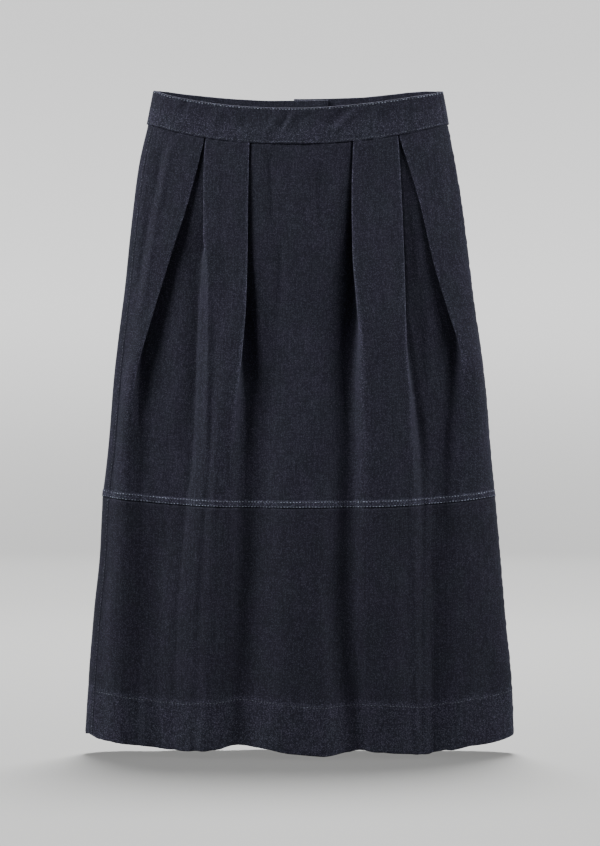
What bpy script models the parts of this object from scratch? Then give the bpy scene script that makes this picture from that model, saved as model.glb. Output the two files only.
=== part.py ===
"""Knee-length denim skirt with a contoured waistband, four front pleats and a deep hem tier.

The skirt hangs by its waist, almost flat and still hollow.
The origin is midway between the two top corners of the waistband.
+Z is up, the front faces -Y and the wearer's left is +X.

Each level of the skirt is a section: a flat ellipse, turned through at the side folds,
with the cloth's own pleats and soft folds laid on it as heights along its normal.
A drop is a distance below the origin.  Sizes in the tables are millimetres and degrees.
"""

import math
from collections import namedtuple

import bmesh
import bpy
import numpy as np

MM = 0.001
MERGE = 0.00001         # points this near each other, in metres, are one

# ---- cloth -----------------------------------------------------------------------------------
CLOTH = 1.0             # one layer of denim
HEM_CLOTH = 2.2         # two layers, where the hem is turned up inside
HEM_TURN_UP = 60.0      # depth of the turned-up hem
SEAM_GAP = 0.3          # clearance between two pieces at a seam
TIER_LAP = 9.0          # width of the raised seam allowance above the hem tier
TIER_RISE = 0.8         # how far that strip stands proud of the tier below

# ---- waistband -------------------------------------------------------------------------------
BAND_THICK = 2.6
BAND_OFFSET = 1.0       # the band's middle lies this far outside the panels' middle
BAND_ROUND = 1.3        # rounding of its top fold
BAND_OUTER_END = -6.0   # where the upper end stops at the back, in X
BAND_UNDER_END = 38.0   # where the end below it stops, in X
UNDERLAP_INSET = -2.0   # height of the end that passes below
UNDERLAP_RAMP = 34.0    # length over which it steps inwards
UNDERLAP_CLEAR = 3.0    # the step is over this far before the upper end
BAND_STEP = 6.0         # degrees between the band's sections
BAND_TURN_STEPS = (75, 81, 83, 85, 87, 88.5, 91.5, 93, 95, 97, 99, 105)     # closer at each side

# ---- seams -----------------------------------------------------------------------------------
# A bearing of 0 is the front centre, 90 the wearer's left side, 180 the back centre.
RIGHT_SEAM = -74.0
LEFT_SEAM = 94.0
BACK_SEAM = 180.0

# ---- levels: drop of the front centre, the sides and the back centre ---------------------------
# Each level is an arc, lowest at the centre.  The powers say how late it rises to either side.
Level = namedtuple("Level", "place front side back right_power left_power")
LEVELS = [
    Level(0.0, 24.2, 0.8, 7.7, 2.4, 1.7),         # top of the waistband
    Level(1.0, 70.5, 42.0, 52.0, 2.5, 2.1),       # waist seam
    Level(2.0, 535.4, 521.4, 530.0, 2.8, 3.0),    # tier seam
    Level(3.0, 844.0, 826.0, 838.0, 4.0, 5.5),    # hem
]
BAND_TOP, WAIST_SEAM, TIER_SEAM, HEM = 0.0, 1.0, 2.0, 3.0
BAND_HEIGHT = 47.3
UPPER_LENGTH = 464.9
TIER_LENGTH = 308.6

# ---- outline: the two side edges seen from the front, and how deep the section is --------------
Width = namedtuple("Width", "drop right left")
OUTLINE = [
    Width(1, -184.9, 184.4),
    Width(44, -194.0, 192.6),
    Width(88, -203.7, 201.1),
    Width(139, -211.3, 209.7),
    Width(204, -218.6, 218.0),
    Width(268, -225.3, 225.6),
    Width(333, -233.3, 234.5),
    Width(397, -239.5, 241.9),
    Width(462, -245.2, 247.2),
    Width(522, -252.4, 253.0),
    Width(603, -256.8, 260.2),
    Width(681, -264.5, 266.9),
    Width(758, -270.4, 274.4),
    Width(826, -274.4, 277.2),
]
Depth = namedtuple("Depth", "drop front back")
DEPTHS = [
    Depth(0, 30.0, 30.0),
    Depth(70, 31.0, 31.0),
    Depth(300, 36.0, 35.0),
    Depth(535, 42.0, 40.0),
    Depth(840, 50.0, 48.0),
]

# ---- front pleats ----------------------------------------------------------------------------
# edge is the X of the folded edge, turn how far the cloth turns back there (180 is pressed flat),
# radius the bend and run the straight cloth between the two bends.
Pleat = namedtuple("Pleat", "drop edge turn radius run")
TO_LEFT, TO_RIGHT = 1, -1       # the way a folded edge faces, for the wearer
PLEATS = [
    ("right_side_edge", TO_LEFT, [
        Pleat(60, -119.8, 180, 0.7, 13), Pleat(142, -141.1, 178, 0.8, 12),
        Pleat(218, -165.3, 170, 1.0, 11), Pleat(312, -193.5, 148, 1.6, 9),
        Pleat(360, -206.5, 112, 2.2, 6), Pleat(400, -212.5, 70, 4.0, 5),
        Pleat(440, -215.0, 44, 8.0, 8), Pleat(486, -217.0, 35, 10.0, 12),
        Pleat(535, -218.5, 30, 13.0, 14), Pleat(652, -220.7, 27, 16.0, 16),
        Pleat(836, -224.1, 25, 18.0, 16)]),
    ("right_strip_outer", TO_RIGHT, [
        Pleat(60, -118.0, 180, 0.7, 13), Pleat(85, -120.3, 179, 0.7, 12),
        Pleat(142, -121.0, 175, 0.8, 9), Pleat(188, -120.7, 120, 1.4, 6),
        Pleat(221, -118.1, 55, 4.0, 8), Pleat(308, -116.0, 28, 9.0, 12),
        Pleat(469, -118.9, 21, 14.0, 14), Pleat(535, -125.3, 19, 16.0, 16),
        Pleat(652, -132.9, 18, 18.0, 18), Pleat(836, -140.3, 18, 20.0, 18)]),
    ("right_strip_inner", TO_LEFT, [
        Pleat(60, -62.0, 180, 0.7, 13), Pleat(206, -63.2, 172, 1.0, 11),
        Pleat(270, -65.0, 150, 1.6, 11), Pleat(337, -70.1, 118, 2.5, 10),
        Pleat(397, -78.4, 85, 4.5, 9), Pleat(461, -83.3, 58, 8.0, 10),
        Pleat(535, -84.5, 44, 12.0, 14), Pleat(652, -87.0, 38, 15.0, 16),
        Pleat(836, -94.0, 34, 17.0, 17)]),
    ("left_strip_inner", TO_RIGHT, [
        Pleat(60, 70.6, 180, 0.7, 13), Pleat(142, 68.3, 172, 0.9, 12),
        Pleat(206, 69.1, 150, 1.5, 12), Pleat(270, 74.6, 115, 2.8, 11),
        Pleat(327, 79.7, 78, 5.0, 11), Pleat(397, 80.0, 56, 9.0, 12),
        Pleat(535, 86.0, 44, 12.0, 13), Pleat(652, 93.0, 38, 14.0, 14),
        Pleat(836, 99.0, 34, 16.0, 15)]),
    ("left_strip_outer", TO_LEFT, [
        Pleat(60, 127.2, 180, 0.7, 13), Pleat(142, 131.5, 172, 0.9, 11),
        Pleat(215, 134.1, 140, 1.5, 8), Pleat(316, 137.0, 95, 2.8, 6),
        Pleat(404, 143.4, 60, 5.0, 6), Pleat(469, 146.5, 38, 8.0, 8),
        Pleat(535, 149.0, 28, 11.0, 9), Pleat(652, 151.0, 25, 12.0, 10),
        Pleat(836, 152.0, 23, 14.0, 10)]),
    ("left_side_edge", TO_RIGHT, [
        Pleat(60, 129.3, 180, 0.7, 13), Pleat(142, 154.8, 174, 0.9, 11),
        Pleat(218, 172.4, 155, 1.2, 9), Pleat(288, 192.8, 120, 2.2, 8),
        Pleat(342, 208.3, 80, 4.5, 8), Pleat(378, 209.7, 55, 7.0, 9),
        Pleat(436, 205.8, 42, 9.0, 9), Pleat(535, 201.0, 34, 11.0, 10),
        Pleat(652, 198.0, 31, 13.0, 11), Pleat(836, 194.0, 29, 15.0, 12)]),
]

# How far the cloth between two folded edges rises above its own ends.
Crown = namedtuple("Crown", "drop right_underlay right_strip centre left_strip left_underlay")
CROWNS = [
    Crown(60, 0.0, 0.0, 0.0, 0.0, 0.0),
    Crown(200, 0.5, 0.6, 2.5, 0.6, 0.3),
    Crown(400, 0.0, 1.5, 9.0, 1.5, 0.0),
    Crown(535, -1.5, 2.0, 12.0, 2.0, -1.5),
    Crown(836, -2.5, 3.0, 15.0, 3.0, -3.0),
]

# The shares of its width over which that cloth rises from one end and falls to the other.
EVEN_FLANKS = (0.5, 0.5)
CENTRE_FLANKS = (0.45, 0.28)

# Steps across each stretch of a front section, for the pressed pleats above and the soft folds below.
Grain = namedtuple("Grain", "side bend run underlay strip centre")
PLEATED = Grain(side=7, bend=4, run=1, underlay=3, strip=4, centre=8)
SOFT = Grain(side=5, bend=2, run=1, underlay=3, strip=3, centre=8)
EDGE_STEP = 1.0         # a station this close to a seam keeps the cut edge square to the cloth

# ---- rows of points down a panel, as lengths below its upper seam --------------------------------
UPPER_FALLS = (0, 9, 26, 54, 88, 122, 156, 190, 224, 258, 292, 326, 360, 394, 426)
LAP_STEP = (-1.2, 0.8)          # the raised strip starts between these two rows
TIER_FALLS = (0, 28, 68, 112, 158, 204)
TURN_UP_STEP = (-1.5, 0.5)      # the turned-up hem starts between these two rows
TIER_LAST_STEP = 26.0           # from the last row to the hem
BACK_LEFT_COLUMNS = 14
BACK_RIGHT_COLUMNS = 16
BACK_TIER_COLUMNS = 40

# ---- soft folds of the back ------------------------------------------------------------------
# Each is a trough that starts at a drop, runs to the hem and widens on its way.
Trough = namedtuple("Trough", "start top_x hem_x hem_depth top_half hem_half")
BACK_TROUGHS = [
    Trough(150, 128, 172, 10.0, 16, 34),
    Trough(90, 62, 78, 14.0, 14, 36),
    Trough(230, 4, -14, 9.0, 18, 34),
    Trough(110, -70, -92, 13.0, 14, 38),
    Trough(190, -136, -184, 9.0, 16, 32),
]
BACK_RISE = 3.5         # the ridges between them stand this far out at the hem
BACK_FADE = 0.45        # they fade out where the section turns to this cosine at the sides
HEM_SWAY = 0.45         # the hem drops this much of a fold's height where the fold stands out

# ---- zip -------------------------------------------------------------------------------------
# The tape is sewn inside the back seam.  Its slider stands closed below the waistband, outside,
# and the pull hangs from a bar between the slider's two cheeks.
ZIP_LENGTH = 190.0
ZIP_TAPE_WIDTH = 24.0
ZIP_TAPE_THICK = 1.0
ZIP_TAPE_ROWS = 9
ZIP_TAPE_COLUMNS = 5
SLIDER_TOP = 56.0       # drop of the slider's upper end
SLIDER_HEIGHT = 8.0
SLIDER_WIDTH = 6.4
SLIDER_PLATE = 1.4      # its plate, against the cloth
CHEEK_THICK = 1.2
CHEEK_DEPTH = 3.4       # how far the cheeks stand out from the plate
BAR_RADIUS = 0.6
EYE_GAP = 0.3           # clearance of the pull's eye round the bar
EYE_RADIUS = 1.7
EYE_CLEARANCE = 0.2     # between the eye and the plate behind it
BAR_SIDES = 20
EYE_SIDES = 24
PULL_LENGTH = 22.0
PULL_WIDTH = 3.4
PULL_THICK = 1.3
PULL_TIP = 0.6          # length of its narrowed end

COLLECTION = "denim_skirt"
DENIM = (0.036, 0.042, 0.068)
ZIP_TAPE = (0.030, 0.034, 0.055)
ZIP_METAL = (0.42, 0.40, 0.36)


# ---- reading a table at a drop ----------------------------------------------------------------

def track(rows, column, drop):
    """One column of a table, read at a drop along a smooth curve that never overshoots its rows."""
    xs = [row[0] for row in rows]
    ys = [getattr(row, column) for row in rows]
    if drop <= xs[0]:
        return float(ys[0])
    if drop >= xs[-1]:
        return float(ys[-1])
    steps = [xs[k + 1] - xs[k] for k in range(len(xs) - 1)]
    rates = [(ys[k + 1] - ys[k]) / steps[k] for k in range(len(steps))]
    k = max(i for i in range(len(steps)) if drop >= xs[i])

    def slope(i):
        if i == 0:
            return rates[0]
        if i == len(steps):
            return rates[-1]
        before, after = rates[i - 1], rates[i]
        if before * after <= 0:
            return 0.0
        heavy_after = 2 * steps[i] + steps[i - 1]
        heavy_before = steps[i] + 2 * steps[i - 1]
        return (heavy_after + heavy_before) / (heavy_after / before + heavy_before / after)

    t = (drop - xs[k]) / steps[k]
    start, end = slope(k) * steps[k], slope(k + 1) * steps[k]
    return (ys[k] * (1 + 2 * t) * (1 - t) ** 2 + start * t * (1 - t) ** 2
            + ys[k + 1] * t * t * (3 - 2 * t) + end * t * t * (t - 1))


def smooth(t):
    t = np.clip(t, 0.0, 1.0)
    return t * t * (3 - 2 * t)


def level(place, column):
    """A column of LEVELS at a place, straight between the named levels."""
    places = [row.place for row in LEVELS]
    return float(np.interp(place, places, [getattr(row, column) for row in LEVELS]))


def half_width(place):
    side = level(place, "side")
    return 0.5 * (track(OUTLINE, "left", side) - track(OUTLINE, "right", side))


def centre_x(place):
    side = level(place, "side")
    return 0.5 * (track(OUTLINE, "left", side) + track(OUTLINE, "right", side))


def drop_at(place, sine, at_front):
    """The drop of a level at a bearing's sine: an arc that is lowest at the centre."""
    middle = level(place, "front" if at_front else "back")
    power = level(place, "left_power" if sine > 0 else "right_power")
    return middle + (level(place, "side") - middle) * abs(sine) ** power


def skin(place, bearing, height):
    """A point of the skirt: a bearing round the section at a level, and a height along its normal."""
    sine, cosine = math.sin(bearing), math.cos(bearing)
    at_front = cosine > 0
    drop = drop_at(place, sine, at_front)
    wide = half_width(place)
    deep = track(DEPTHS, "front" if at_front else "back", drop)
    normal = np.array([sine / wide, -cosine / deep])
    normal /= np.linalg.norm(normal)
    x = centre_x(place) + wide * sine + height * normal[0]
    y = -deep * cosine + height * normal[1]
    sway = HEM_SWAY * height * float(smooth(place - TIER_SEAM))
    return np.array([x, y, -(drop + sway)]) * MM


def bearing_speed(place, bearing):
    """Millimetres of section for each radian of bearing."""
    sine, cosine = math.sin(bearing), math.cos(bearing)
    deep = track(DEPTHS, "front" if cosine > 0 else "back", level(place, "side"))
    return math.hypot(half_width(place) * cosine, deep * sine)


def seam_bearing(place, seam, side):
    """Where a piece stops at an upright seam, half the clearance away on the given side of it."""
    bearing = math.radians(seam)
    return bearing + side * 0.5 * SEAM_GAP / bearing_speed(place, bearing)


# ---- the front's section ----------------------------------------------------------------------

def pleat_path(row, bend_steps, run_steps):
    """Cloth turning in at a folded edge that faces +X: along, back and along again, from (0, 0)."""
    turn = math.radians(row.turn)
    bend = [(row.radius * math.sin(a), -row.radius * (1 - math.cos(a)))
            for a in np.linspace(0.0, turn, bend_steps + 1)]
    across = 2 * row.radius * math.sin(turn) + row.run * math.cos(turn)
    deep = 2 * row.radius * (1 - math.cos(turn)) + row.run * math.sin(turn)
    path = bend + [(across - x, -deep - h) for x, h in reversed(bend)]
    if run_steps > 1:
        first, second = path[bend_steps], path[bend_steps + 1]
        extra = [(first[0] + (second[0] - first[0]) * k / run_steps,
                  first[1] + (second[1] - first[1]) * k / run_steps) for k in range(1, run_steps)]
        path[bend_steps + 1:bend_steps + 1] = extra
    return path, deep


def pleat_at(place, faces, rows, bend_steps, run_steps):
    """The folded edge at a level, in order of X along the cloth: positions and heights."""
    nominal = rows[0].edge
    for _ in range(3):
        sine = max(-0.98, min(0.98, (nominal - centre_x(place)) / half_width(place)))
        drop = drop_at(place, sine, True)
        nominal = track(rows, "edge", drop)
    row = Pleat(drop, nominal, *[track(rows, name, drop) for name in ("turn", "radius", "run")])
    path, deep = pleat_path(row, bend_steps, run_steps)
    reach = row.radius * math.sin(math.radians(min(row.turn, 90.0)))
    points = [(row.edge + faces * (x - reach), 0.5 * deep + h) for x, h in path]
    return points if faces == TO_LEFT else points[::-1]


def span(start, end, steps, crown, flanks):
    """Free cloth between two folded edges, level at both ends; its inner points only."""
    points = []
    for k in range(1, steps):
        q = k / steps
        height = start[1] + (end[1] - start[1]) * float(smooth(q))
        swell = float(smooth(q / flanks[0]) * smooth((1 - q) / flanks[1]))
        points.append((start[0] + (end[0] - start[0]) * q, height + crown * swell))
    return points


def front_section(place, grain):
    """Bearings and heights across the front at a level, from the right side seam to the left."""
    wide, middle = half_width(place), centre_x(place)
    folds = [pleat_at(place, faces, rows, grain.bend, grain.run) for _, faces, rows in PLEATS]
    drop = drop_at(place, 0.5, True)
    spans = [("right_underlay", grain.underlay, EVEN_FLANKS), ("right_strip", grain.strip, EVEN_FLANKS),
             ("centre", grain.centre, CENTRE_FLANKS), ("left_strip", grain.strip, EVEN_FLANKS),
             ("left_underlay", grain.underlay, EVEN_FLANKS)]
    points = list(folds[0])
    for number, (name, steps, flanks) in enumerate(spans):
        after = folds[number + 1]
        points += span(points[-1], after[0], steps, track(CROWNS, name, drop), flanks)
        points += after
    bearings = [math.asin(max(-0.999, min(0.999, (x - middle) / wide))) for x, _ in points]
    heights = [h for _, h in points]
    first = seam_bearing(place, RIGHT_SEAM, 1)
    last = seam_bearing(place, LEFT_SEAM, -1)
    head = side_run(place, first, bearings[0], heights[0], grain.side)
    tail = side_run(place, last, bearings[-1], heights[-1], grain.side)
    return head + list(zip(bearings, heights)) + tail[::-1]


def side_run(place, seam, edge, height, steps):
    """From a side seam towards the outermost folded edge, rising to that edge's height."""
    first_step = EDGE_STEP / bearing_speed(place, seam) / abs(edge - seam)
    return [(seam + (edge - seam) * q, height * float(smooth(q)))
            for q in [0.0, first_step, *np.arange(1, steps) / steps]]


def back_height(place, bearing):
    """Height of the back's soft folds."""
    x = centre_x(place) + half_width(place) * math.sin(bearing)
    drop = drop_at(place, math.sin(bearing), False)
    down = drop / level(HEM, "back")
    height = 0.0
    for row in BACK_TROUGHS:
        share = smooth((drop - row.start) / (level(HEM, "back") - row.start))
        axis = row.top_x + (row.hem_x - row.top_x) * down
        half = row.top_half + (row.hem_half - row.top_half) * down
        height -= row.hem_depth * float(share) * math.exp(-((x - axis) / half) ** 2)
    edge = max(0.0, -math.cos(bearing))
    return (height + BACK_RISE * float(smooth(down))) * float(smooth(edge / BACK_FADE))


def back_section(place, start, end, columns):
    stations = list(np.linspace(start, end, columns))
    stations.insert(1, start + EDGE_STEP / bearing_speed(place, start))
    stations.insert(-1, end - EDGE_STEP / bearing_speed(place, end))
    return [(b, back_height(place, b)) for b in stations]


# ---- building ---------------------------------------------------------------------------------

def clear_scene():
    for item in list(bpy.data.objects):
        bpy.data.objects.remove(item, do_unlink=True)


def paint(name, colour, roughness, metallic=0.0):
    material = bpy.data.materials.new(name)
    material.use_nodes = True
    shader = material.node_tree.nodes["Principled BSDF"]
    shader.inputs["Base Color"].default_value = (*colour, 1.0)
    shader.inputs["Roughness"].default_value = roughness
    shader.inputs["Metallic"].default_value = metallic
    material.diffuse_color = (*colour, 1.0)
    return material


def add_object(name, mesh, material, collection):
    item = bpy.data.objects.new(name, mesh)
    item.data.materials.append(material)
    collection.objects.link(item)
    return item


def sheet_mesh(name, rows):
    """A grid of points, top row first, as one open sheet facing outwards."""
    across, down = len(rows[0]), len(rows)
    mesh = bpy.data.meshes.new(name)
    bm = bmesh.new()
    bmesh.ops.create_grid(bm, x_segments=across - 1, y_segments=down - 1, size=1.0)
    for vert in bm.verts:
        column = round((vert.co.x + 1) / 2 * (across - 1))
        row = down - 1 - round((vert.co.y + 1) / 2 * (down - 1))
        vert.co = rows[row][column]
    bm.to_mesh(mesh)
    bm.free()
    mesh.shade_smooth()
    return mesh


def solidify(item, thickness, offset):
    wall = item.modifiers.new("cloth", "SOLIDIFY")
    wall.thickness = thickness * MM
    wall.offset = offset
    wall.use_even_offset = True
    return wall


def upper_places():
    """Levels of the upper panels, closer at the waist and where the seam allowance starts."""
    lap = [UPPER_LENGTH - TIER_LAP + step for step in LAP_STEP]
    falls = [*UPPER_FALLS, *lap, UPPER_LENGTH - SEAM_GAP]
    return [WAIST_SEAM + fall / UPPER_LENGTH for fall in falls]


def tier_places():
    """Levels of the hem tier, with the step where the turned-up hem starts."""
    turn_up = [TIER_LENGTH - HEM_TURN_UP + step for step in TURN_UP_STEP]
    falls = [*TIER_FALLS, *turn_up, TIER_LENGTH - TIER_LAST_STEP, TIER_LENGTH]
    return [TIER_SEAM + fall / TIER_LENGTH for fall in falls]


def tier_rise(place):
    """Extra height of the seam allowance at the foot of the upper tier."""
    start = TIER_SEAM - TIER_LAP / UPPER_LENGTH
    return TIER_RISE * float(place > start)


def upper_panel(name, section, material, collection):
    rows = [[skin(place, b, h + tier_rise(place)) for b, h in section(place)]
            for place in upper_places()]
    item = add_object(name, sheet_mesh(name, rows), material, collection)
    solidify(item, CLOTH, 0.0)
    return item


def tier_panel(name, section, material, collection):
    places = tier_places()
    rows = [[skin(place, b, h + 0.5 * CLOTH) for b, h in section(place)] for place in places]
    item = add_object(name, sheet_mesh(name, rows), material, collection)
    wall = solidify(item, HEM_CLOTH, -1.0)
    doubled = item.vertex_groups.new(name="turned_up_hem")
    start = TIER_SEAM + (TIER_LENGTH - HEM_TURN_UP) / TIER_LENGTH
    across = len(rows[0])
    for index, vert in enumerate(item.data.vertices):
        row = len(places) - 1 - index // across
        if places[row] > start:
            doubled.add([index], 1.0, "REPLACE")
    wall.vertex_group = doubled.name
    wall.thickness_vertex_group = CLOTH / HEM_CLOTH
    return item


def waistband(material, collection):
    """One strip from the outer end at the back, round the front, to the end that passes below it."""
    wide, middle = half_width(BAND_TOP), centre_x(BAND_TOP)
    outer_end = math.pi + math.asin((middle - BAND_OUTER_END) / wide)
    under_end = -math.pi - math.asin((BAND_UNDER_END - middle) / wide)
    ramp_start = -math.pi + math.asin((middle - BAND_OUTER_END + UNDERLAP_RAMP) / wide)
    ramp_end = -math.pi + math.asin((middle - BAND_OUTER_END + UNDERLAP_CLEAR) / wide)
    half, foot = 0.5 * BAND_THICK, 1.0 - SEAM_GAP / BAND_HEIGHT
    turn = BAND_ROUND / BAND_HEIGHT
    profile = [(foot, half), (turn, half), (0.3 * turn, 0.7 * half), (0.0, 0.25 * half),
               (0.0, -0.25 * half), (0.3 * turn, -0.7 * half), (turn, -half), (foot, -half)]
    flat = np.radians(np.arange(0.0, 180.0 - BAND_STEP + 1.0, BAND_STEP))
    turned = np.radians(BAND_TURN_STEPS)
    bearings = sorted([*flat, *(-flat[1:]), *turned, *(-turned), ramp_start, ramp_end,
                       0.5 * (ramp_start + ramp_end), under_end, outer_end])
    stations = len(bearings)
    mesh = bpy.data.meshes.new("waistband")
    bm = bmesh.new()
    bmesh.ops.create_grid(bm, x_segments=stations - 1, y_segments=len(profile), size=1.0)
    for vert in bm.verts:
        column = round((vert.co.x + 1) / 2 * (stations - 1))
        corner = round((vert.co.y + 1) / 2 * len(profile)) % len(profile)
        bearing = bearings[column]
        share = float(smooth((ramp_start - bearing) / (ramp_start - ramp_end)))
        offset = BAND_OFFSET + (UNDERLAP_INSET - BAND_OFFSET) * share
        place, height = profile[corner]
        vert.co = skin(place, bearing, offset + height)
    bmesh.ops.remove_doubles(bm, verts=bm.verts, dist=MERGE)
    bmesh.ops.holes_fill(bm, edges=[e for e in bm.edges if e.is_boundary], sides=len(profile))
    bmesh.ops.recalc_face_normals(bm, faces=bm.faces)
    bm.to_mesh(mesh)
    bm.free()
    return add_object("waistband", mesh, material, collection)


def zip_tape(material, collection):
    """A strip behind the back seam, from the waist seam down."""
    height = -(0.5 * CLOTH + SEAM_GAP + 0.5 * ZIP_TAPE_THICK)
    rows = []
    for fall in np.linspace(0.0, ZIP_LENGTH, ZIP_TAPE_ROWS):
        place = WAIST_SEAM + fall / UPPER_LENGTH
        reach = 0.5 * ZIP_TAPE_WIDTH / half_width(place)
        bearings = np.linspace(math.pi - reach, math.pi + reach, ZIP_TAPE_COLUMNS)
        rows.append([skin(place, bearing, height) for bearing in bearings])
    item = add_object("zip_tape", sheet_mesh("zip_tape", rows), material, collection)
    solidify(item, ZIP_TAPE_THICK, 0.0)
    return item


def outline_solid(name, loops, half_thick, material, collection):
    """A flat plate from closed outlines in its own XY plane, thickened along its Z."""
    curve = bpy.data.curves.new(name, "CURVE")
    curve.dimensions = "2D"
    curve.fill_mode = "BOTH"
    curve.extrude = half_thick * MM
    for loop in loops:
        spline = curve.splines.new("POLY")
        spline.points.add(len(loop) - 1)
        for point, (x, y) in zip(spline.points, loop):
            point.co = (x * MM, y * MM, 0.0, 1.0)
        spline.use_cyclic_u = True
    draft = bpy.data.objects.new(name + "_outline", curve)
    collection.objects.link(draft)
    graph = bpy.context.evaluated_depsgraph_get()
    mesh = bpy.data.meshes.new_from_object(draft.evaluated_get(graph))
    bpy.data.objects.remove(draft, do_unlink=True)
    bm = bmesh.new()
    bm.from_mesh(mesh)
    bmesh.ops.remove_doubles(bm, verts=bm.verts, dist=MERGE)
    bmesh.ops.recalc_face_normals(bm, faces=bm.faces)
    bm.to_mesh(mesh)
    bm.free()
    mesh.materials.clear()
    mesh.name = name
    return add_object(name, mesh, material, collection)


def zip_bar_point():
    """Centre of the slider's bar: the pull's hinge."""
    place = WAIST_SEAM + (SLIDER_TOP + SLIDER_HEIGHT - level(WAIST_SEAM, "back")) / UPPER_LENGTH
    surface = skin(place, math.pi, 0.5 * CLOTH)
    out = surface[1] / MM + SEAM_GAP + SLIDER_PLATE + EYE_CLEARANCE + EYE_RADIUS
    return surface[0] / MM, out, -(SLIDER_TOP + 0.5 * SLIDER_HEIGHT)


def zip_slider(material, collection):
    """A plate with two cheeks, and the bar that joins them."""
    x, y, z = zip_bar_point()
    half, inner = 0.5 * SLIDER_WIDTH, 0.5 * SLIDER_WIDTH - CHEEK_THICK
    back = -(EYE_CLEARANCE + EYE_RADIUS)
    front = back + CHEEK_DEPTH
    channel = [(-half, back - SLIDER_PLATE), (half, back - SLIDER_PLATE), (half, front),
               (inner, front), (inner, back), (-inner, back), (-inner, front), (-half, front)]
    slider = outline_solid("zip_slider", [channel], 0.5 * SLIDER_HEIGHT, material, collection)
    slider.location = (x * MM, y * MM, z * MM)
    bpy.ops.mesh.primitive_cylinder_add(vertices=BAR_SIDES, radius=BAR_RADIUS * MM,
                                        depth=(SLIDER_WIDTH - CHEEK_THICK) * MM,
                                        location=slider.location, rotation=(0.0, math.pi / 2, 0.0))
    bar = bpy.context.object
    bar.name = "zip_bar"
    for holder in list(bar.users_collection):
        holder.objects.unlink(bar)
    tools = bpy.data.collections.new("joined_shapes")
    bpy.context.scene.collection.children.link(tools)
    tools.objects.link(bar)
    bar.hide_render = True
    bar.display_type = "WIRE"
    join = slider.modifiers.new("bar", "BOOLEAN")
    join.operation = "UNION"
    join.solver = "EXACT"
    join.object = bar
    return slider


def zip_pull(material, collection):
    """A flat tab that hangs from a round eye; its origin is the bar's centre."""
    x, y, z = zip_bar_point()
    half = 0.5 * PULL_THICK
    open_angle = math.asin(half / EYE_RADIUS)
    rim = [(EYE_RADIUS * math.sin(a), -EYE_RADIUS * math.cos(a))
           for a in np.linspace(open_angle, 2 * math.pi - open_angle, EYE_SIDES + 1)]
    tip = [(-half, PULL_TIP - PULL_LENGTH), (-0.5 * half, -PULL_LENGTH),
           (0.5 * half, -PULL_LENGTH), (half, PULL_TIP - PULL_LENGTH)]
    hole_radius = BAR_RADIUS + EYE_GAP
    hole = [(hole_radius * math.cos(a), hole_radius * math.sin(a))
            for a in np.linspace(0.0, 2 * math.pi, BAR_SIDES, endpoint=False)]
    pull = outline_solid("zip_pull", [rim + tip, hole], 0.5 * PULL_WIDTH, material, collection)
    pull.rotation_euler = (math.pi / 2, 0.0, math.pi / 2)
    pull.location = (x * MM, y * MM, z * MM)
    return pull


def main():
    clear_scene()
    collection = bpy.data.collections.new(COLLECTION)
    bpy.context.scene.collection.children.link(collection)
    denim = paint("denim", DENIM, 0.88)
    band_denim = paint("denim_band", DENIM, 0.86)
    tier_denim = paint("denim_tier", DENIM, 0.88)
    back_denim = paint("denim_back", DENIM, 0.88)

    waistband(band_denim, collection)
    upper_panel("front_panel", lambda p: front_section(p, PLEATED), denim, collection)
    upper_panel("back_panel_left", lambda p: back_section(
        p, seam_bearing(p, LEFT_SEAM, 1), seam_bearing(p, BACK_SEAM, -1), BACK_LEFT_COLUMNS),
        back_denim, collection)
    upper_panel("back_panel_right", lambda p: back_section(
        p, seam_bearing(p, BACK_SEAM, 1), seam_bearing(p, RIGHT_SEAM + 360.0, -1), BACK_RIGHT_COLUMNS),
        back_denim, collection)
    tier_panel("front_tier", lambda p: front_section(p, SOFT), tier_denim, collection)
    tier_panel("back_tier", lambda p: back_section(
        p, seam_bearing(p, LEFT_SEAM, 1), seam_bearing(p, RIGHT_SEAM + 360.0, -1), BACK_TIER_COLUMNS),
        tier_denim, collection)
    tape = paint("zip_tape", ZIP_TAPE, 0.80)
    metal = paint("zip_metal", ZIP_METAL, 0.35, 1.0)
    zip_tape(tape, collection)
    zip_slider(metal, collection)
    zip_pull(metal, collection)


if __name__ == "__main__":
    main()
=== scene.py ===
"""Pleated denim skirt: fine cloth, stitching, zip and studio, built on the skirt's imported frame."""

import math
from collections import namedtuple

import bmesh
import bpy
import numpy as np
from bpy.props import FloatProperty, FloatVectorProperty, PointerProperty
from bpy.types import Operator, Panel, PropertyGroup
from mathutils import Matrix


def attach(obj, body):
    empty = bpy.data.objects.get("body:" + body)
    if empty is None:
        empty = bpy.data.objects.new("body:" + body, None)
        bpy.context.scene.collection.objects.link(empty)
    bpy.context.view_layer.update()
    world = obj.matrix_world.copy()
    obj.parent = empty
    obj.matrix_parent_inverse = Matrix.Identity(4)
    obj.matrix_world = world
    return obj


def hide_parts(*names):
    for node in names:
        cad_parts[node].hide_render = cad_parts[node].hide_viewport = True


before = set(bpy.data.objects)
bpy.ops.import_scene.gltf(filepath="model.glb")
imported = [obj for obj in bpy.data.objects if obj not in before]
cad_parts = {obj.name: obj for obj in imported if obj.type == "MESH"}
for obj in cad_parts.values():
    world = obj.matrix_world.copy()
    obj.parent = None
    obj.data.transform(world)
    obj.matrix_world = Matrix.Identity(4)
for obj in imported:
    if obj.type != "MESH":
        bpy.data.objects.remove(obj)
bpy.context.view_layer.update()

bl_info = {
    "name": "Denim Skirt",
    "version": (1, 0, 0),
    "blender": (4, 5, 0),
    "location": "View3D > Sidebar > Skirt",
    "description": "Builds a pleated denim skirt with stitched seams, a hem tier and a back zip",
    "category": "Add Mesh",
}

MM = 0.001

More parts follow.
